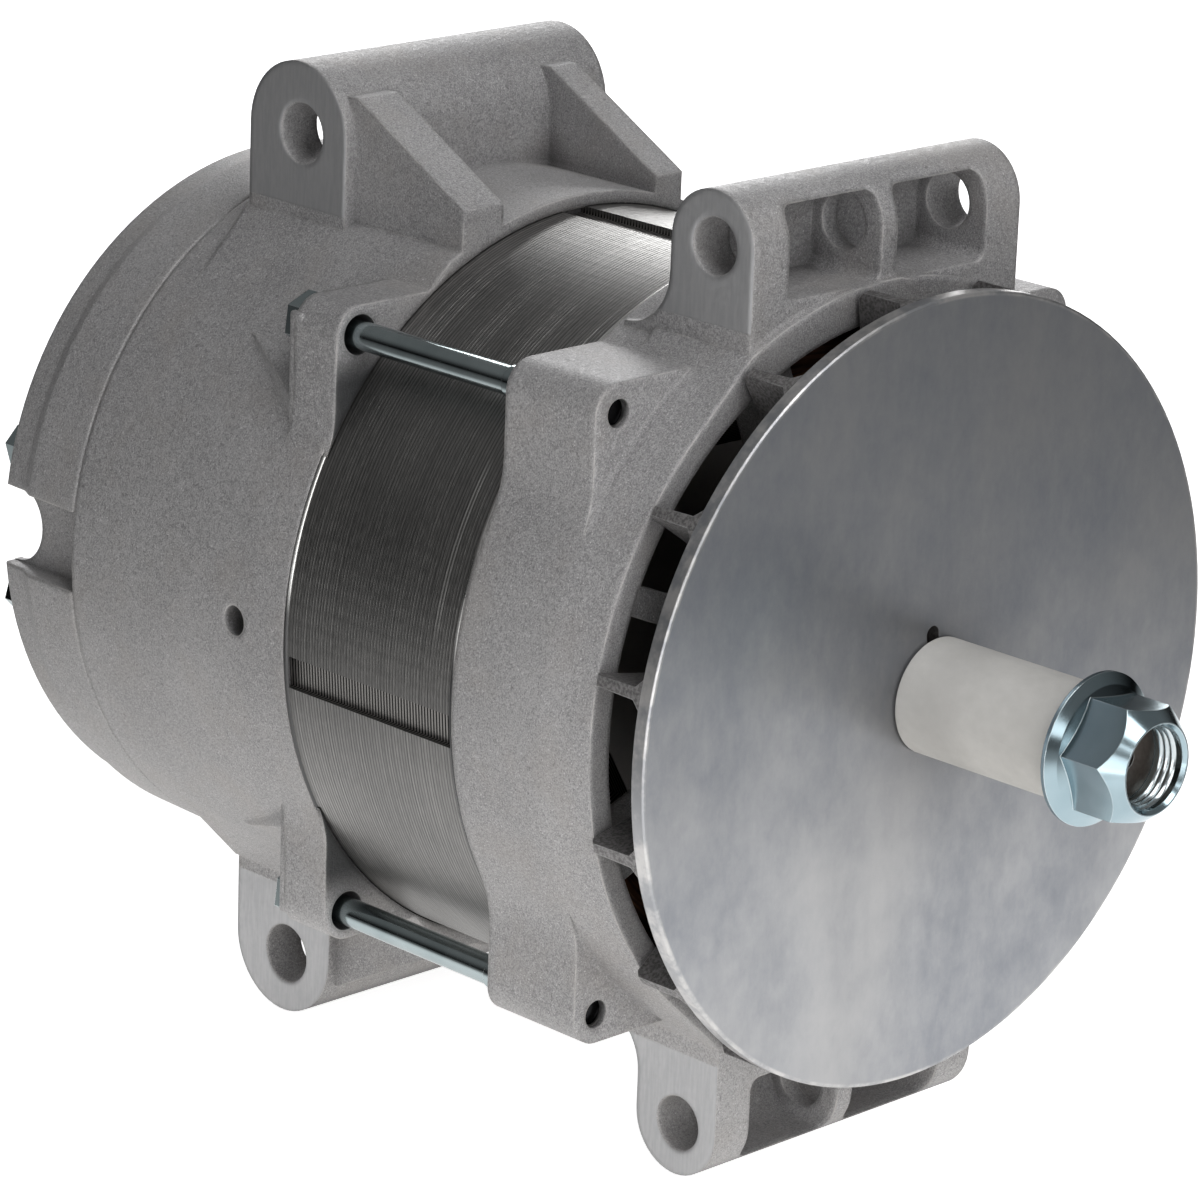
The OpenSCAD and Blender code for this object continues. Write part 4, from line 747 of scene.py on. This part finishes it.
def make_camera():
    """The camera of the photograph."""
    camera = bpy.data.cameras.new("camera")
    camera.lens = CAMERA_LENS
    camera.sensor_width = 36.0
    camera.clip_start = 0.05
    obj = bpy.data.objects.new("camera", camera)
    bpy.context.scene.collection.objects.link(obj)
    forward = Vector(CAMERA_FORWARD).normalized()
    up = Vector(CAMERA_RIGHT).normalized().cross(forward).normalized()
    aim(obj, Vector(CAMERA_PLACE), forward.cross(up), up, forward)
    bpy.context.scene.camera = obj


def softbox(name, location, target, size, power):
    """A square area lamp turned towards a point."""
    lamp = bpy.data.lights.new(name, "AREA")
    lamp.shape = "SQUARE"
    lamp.size = size
    lamp.energy = power
    obj = bpy.data.objects.new(name, lamp)
    bpy.context.scene.collection.objects.link(obj)
    forward = (Vector(target) - Vector(location)).normalized()
    right = forward.cross(Vector((0, 0, 1))).normalized()
    aim(obj, Vector(location), right, right.cross(forward), forward)


def make_world():
    """A plain room: dark at the horizon and grey overhead."""
    world = bpy.data.worlds.new("studio")
    bpy.context.scene.world = world
    world.use_nodes = True
    tree = world.node_tree
    back = tree.nodes["Background"]
    back.inputs["Strength"].default_value = 1.0
    place = tree.nodes.new("ShaderNodeTexCoord")
    split = tree.nodes.new("ShaderNodeSeparateXYZ")
    height = tree.nodes.new("ShaderNodeMapRange")
    height.interpolation_type = "SMOOTHSTEP"
    height.inputs["From Min"].default_value = 0.0
    height.inputs["From Max"].default_value = ROOM_RISE
    height.inputs["To Min"].default_value = 0.0
    height.inputs["To Max"].default_value = ROOM_BRIGHT
    tree.links.new(place.outputs["Generated"], split.inputs[0])
    tree.links.new(split.outputs["Z"], height.inputs["Value"])
    tree.links.new(height.outputs["Result"], back.inputs["Color"])


def floor_paper():
    """A pale table with a sheet of white, softly glowing paper that widens behind the object."""
    g = Graph("floor_paper")
    sideways = g.math("MULTIPLY", g.math("SUBTRACT", g.x, g.y), math.sqrt(0.5))
    backwards = g.math("MULTIPLY", g.math("ADD", g.x, g.y), math.sqrt(0.5))
    half_width = g.math("MAXIMUM", g.math("ADD", backwards, PAPER_START), PAPER_NARROWEST)
    across_paper = g.math("DIVIDE", g.math("ABSOLUTE", sideways), half_width)
    paper = g.span(across_paper, PAPER_FADE_START, PAPER_FADE_END, 1.0, 0.0)
    rays = g.node("ShaderNodeLightPath").outputs
    seen = g.math("MAXIMUM", rays["Is Camera Ray"], rays["Is Glossy Ray"])
    seen = g.math("MAXIMUM", seen, rays["Is Transmission Ray"])
    glow = g.math("ADD", g.math("MULTIPLY", seen, PAPER_SEEN - PAPER_SPREAD), PAPER_SPREAD)
    glow = g.math("ADD", glow, g.math("MULTIPLY", rays["Is Camera Ray"], PAPER_BRIGHTER))
    g.put(g.shader.inputs["Emission Strength"], g.both(glow, paper))
    g.put(g.shader.inputs["Emission Color"], g.mix(seen, PAPER_WARMTH, (1.0, 1.0, 1.0)))
    g.put(g.shader.inputs["Specular IOR Level"], 0.1)
    return g.finish(g.mix(paper, TABLE_TONE, PAPER_TONE), 0.9, 0.0)


def make_floor():
    """The table top, which only belongs to the picture."""
    bpy.ops.mesh.primitive_plane_add(size=TABLE_SIZE, location=(0, 0, cad_low.z - TABLE_GAP))
    floor = bpy.context.object
    floor.name = "floor"
    floor.data.materials.append(floor_paper())


def make_studio():
    """Soft lamps above the front, behind and ahead, and two close cards on the left."""
    bpy.context.scene.view_settings.view_transform = "Standard"
    make_world()
    make_floor()
    middle = (0.0, 0.09, 0.0)
    softbox("top_box", (-0.15, -0.6, 1.2), middle, size=0.8, power=7.7)
    softbox("back_box", (1.6, 1.7, 0.85), middle, size=1.1, power=26)
    softbox("front_box", (-0.3, -0.8, 0.3), (0.0, 0.0, 0.0), size=0.5, power=2.0)
    softbox("left_card", (-0.32, -0.24, 0.03), (-0.05, 0.03, 0.03), size=0.18, power=0.28)
    softbox("low_card", (-0.5, 0.1, -0.1), (-0.05, 0.1, -0.05), size=0.3, power=0.4)


dress_all()
lamination_skin(nodes["stator_core"].data.materials[0])
core_beads()
corner_collars(nodes["rear_housing"].data.materials[0])
threads()
soft_springs()
make_camera()
make_studio()
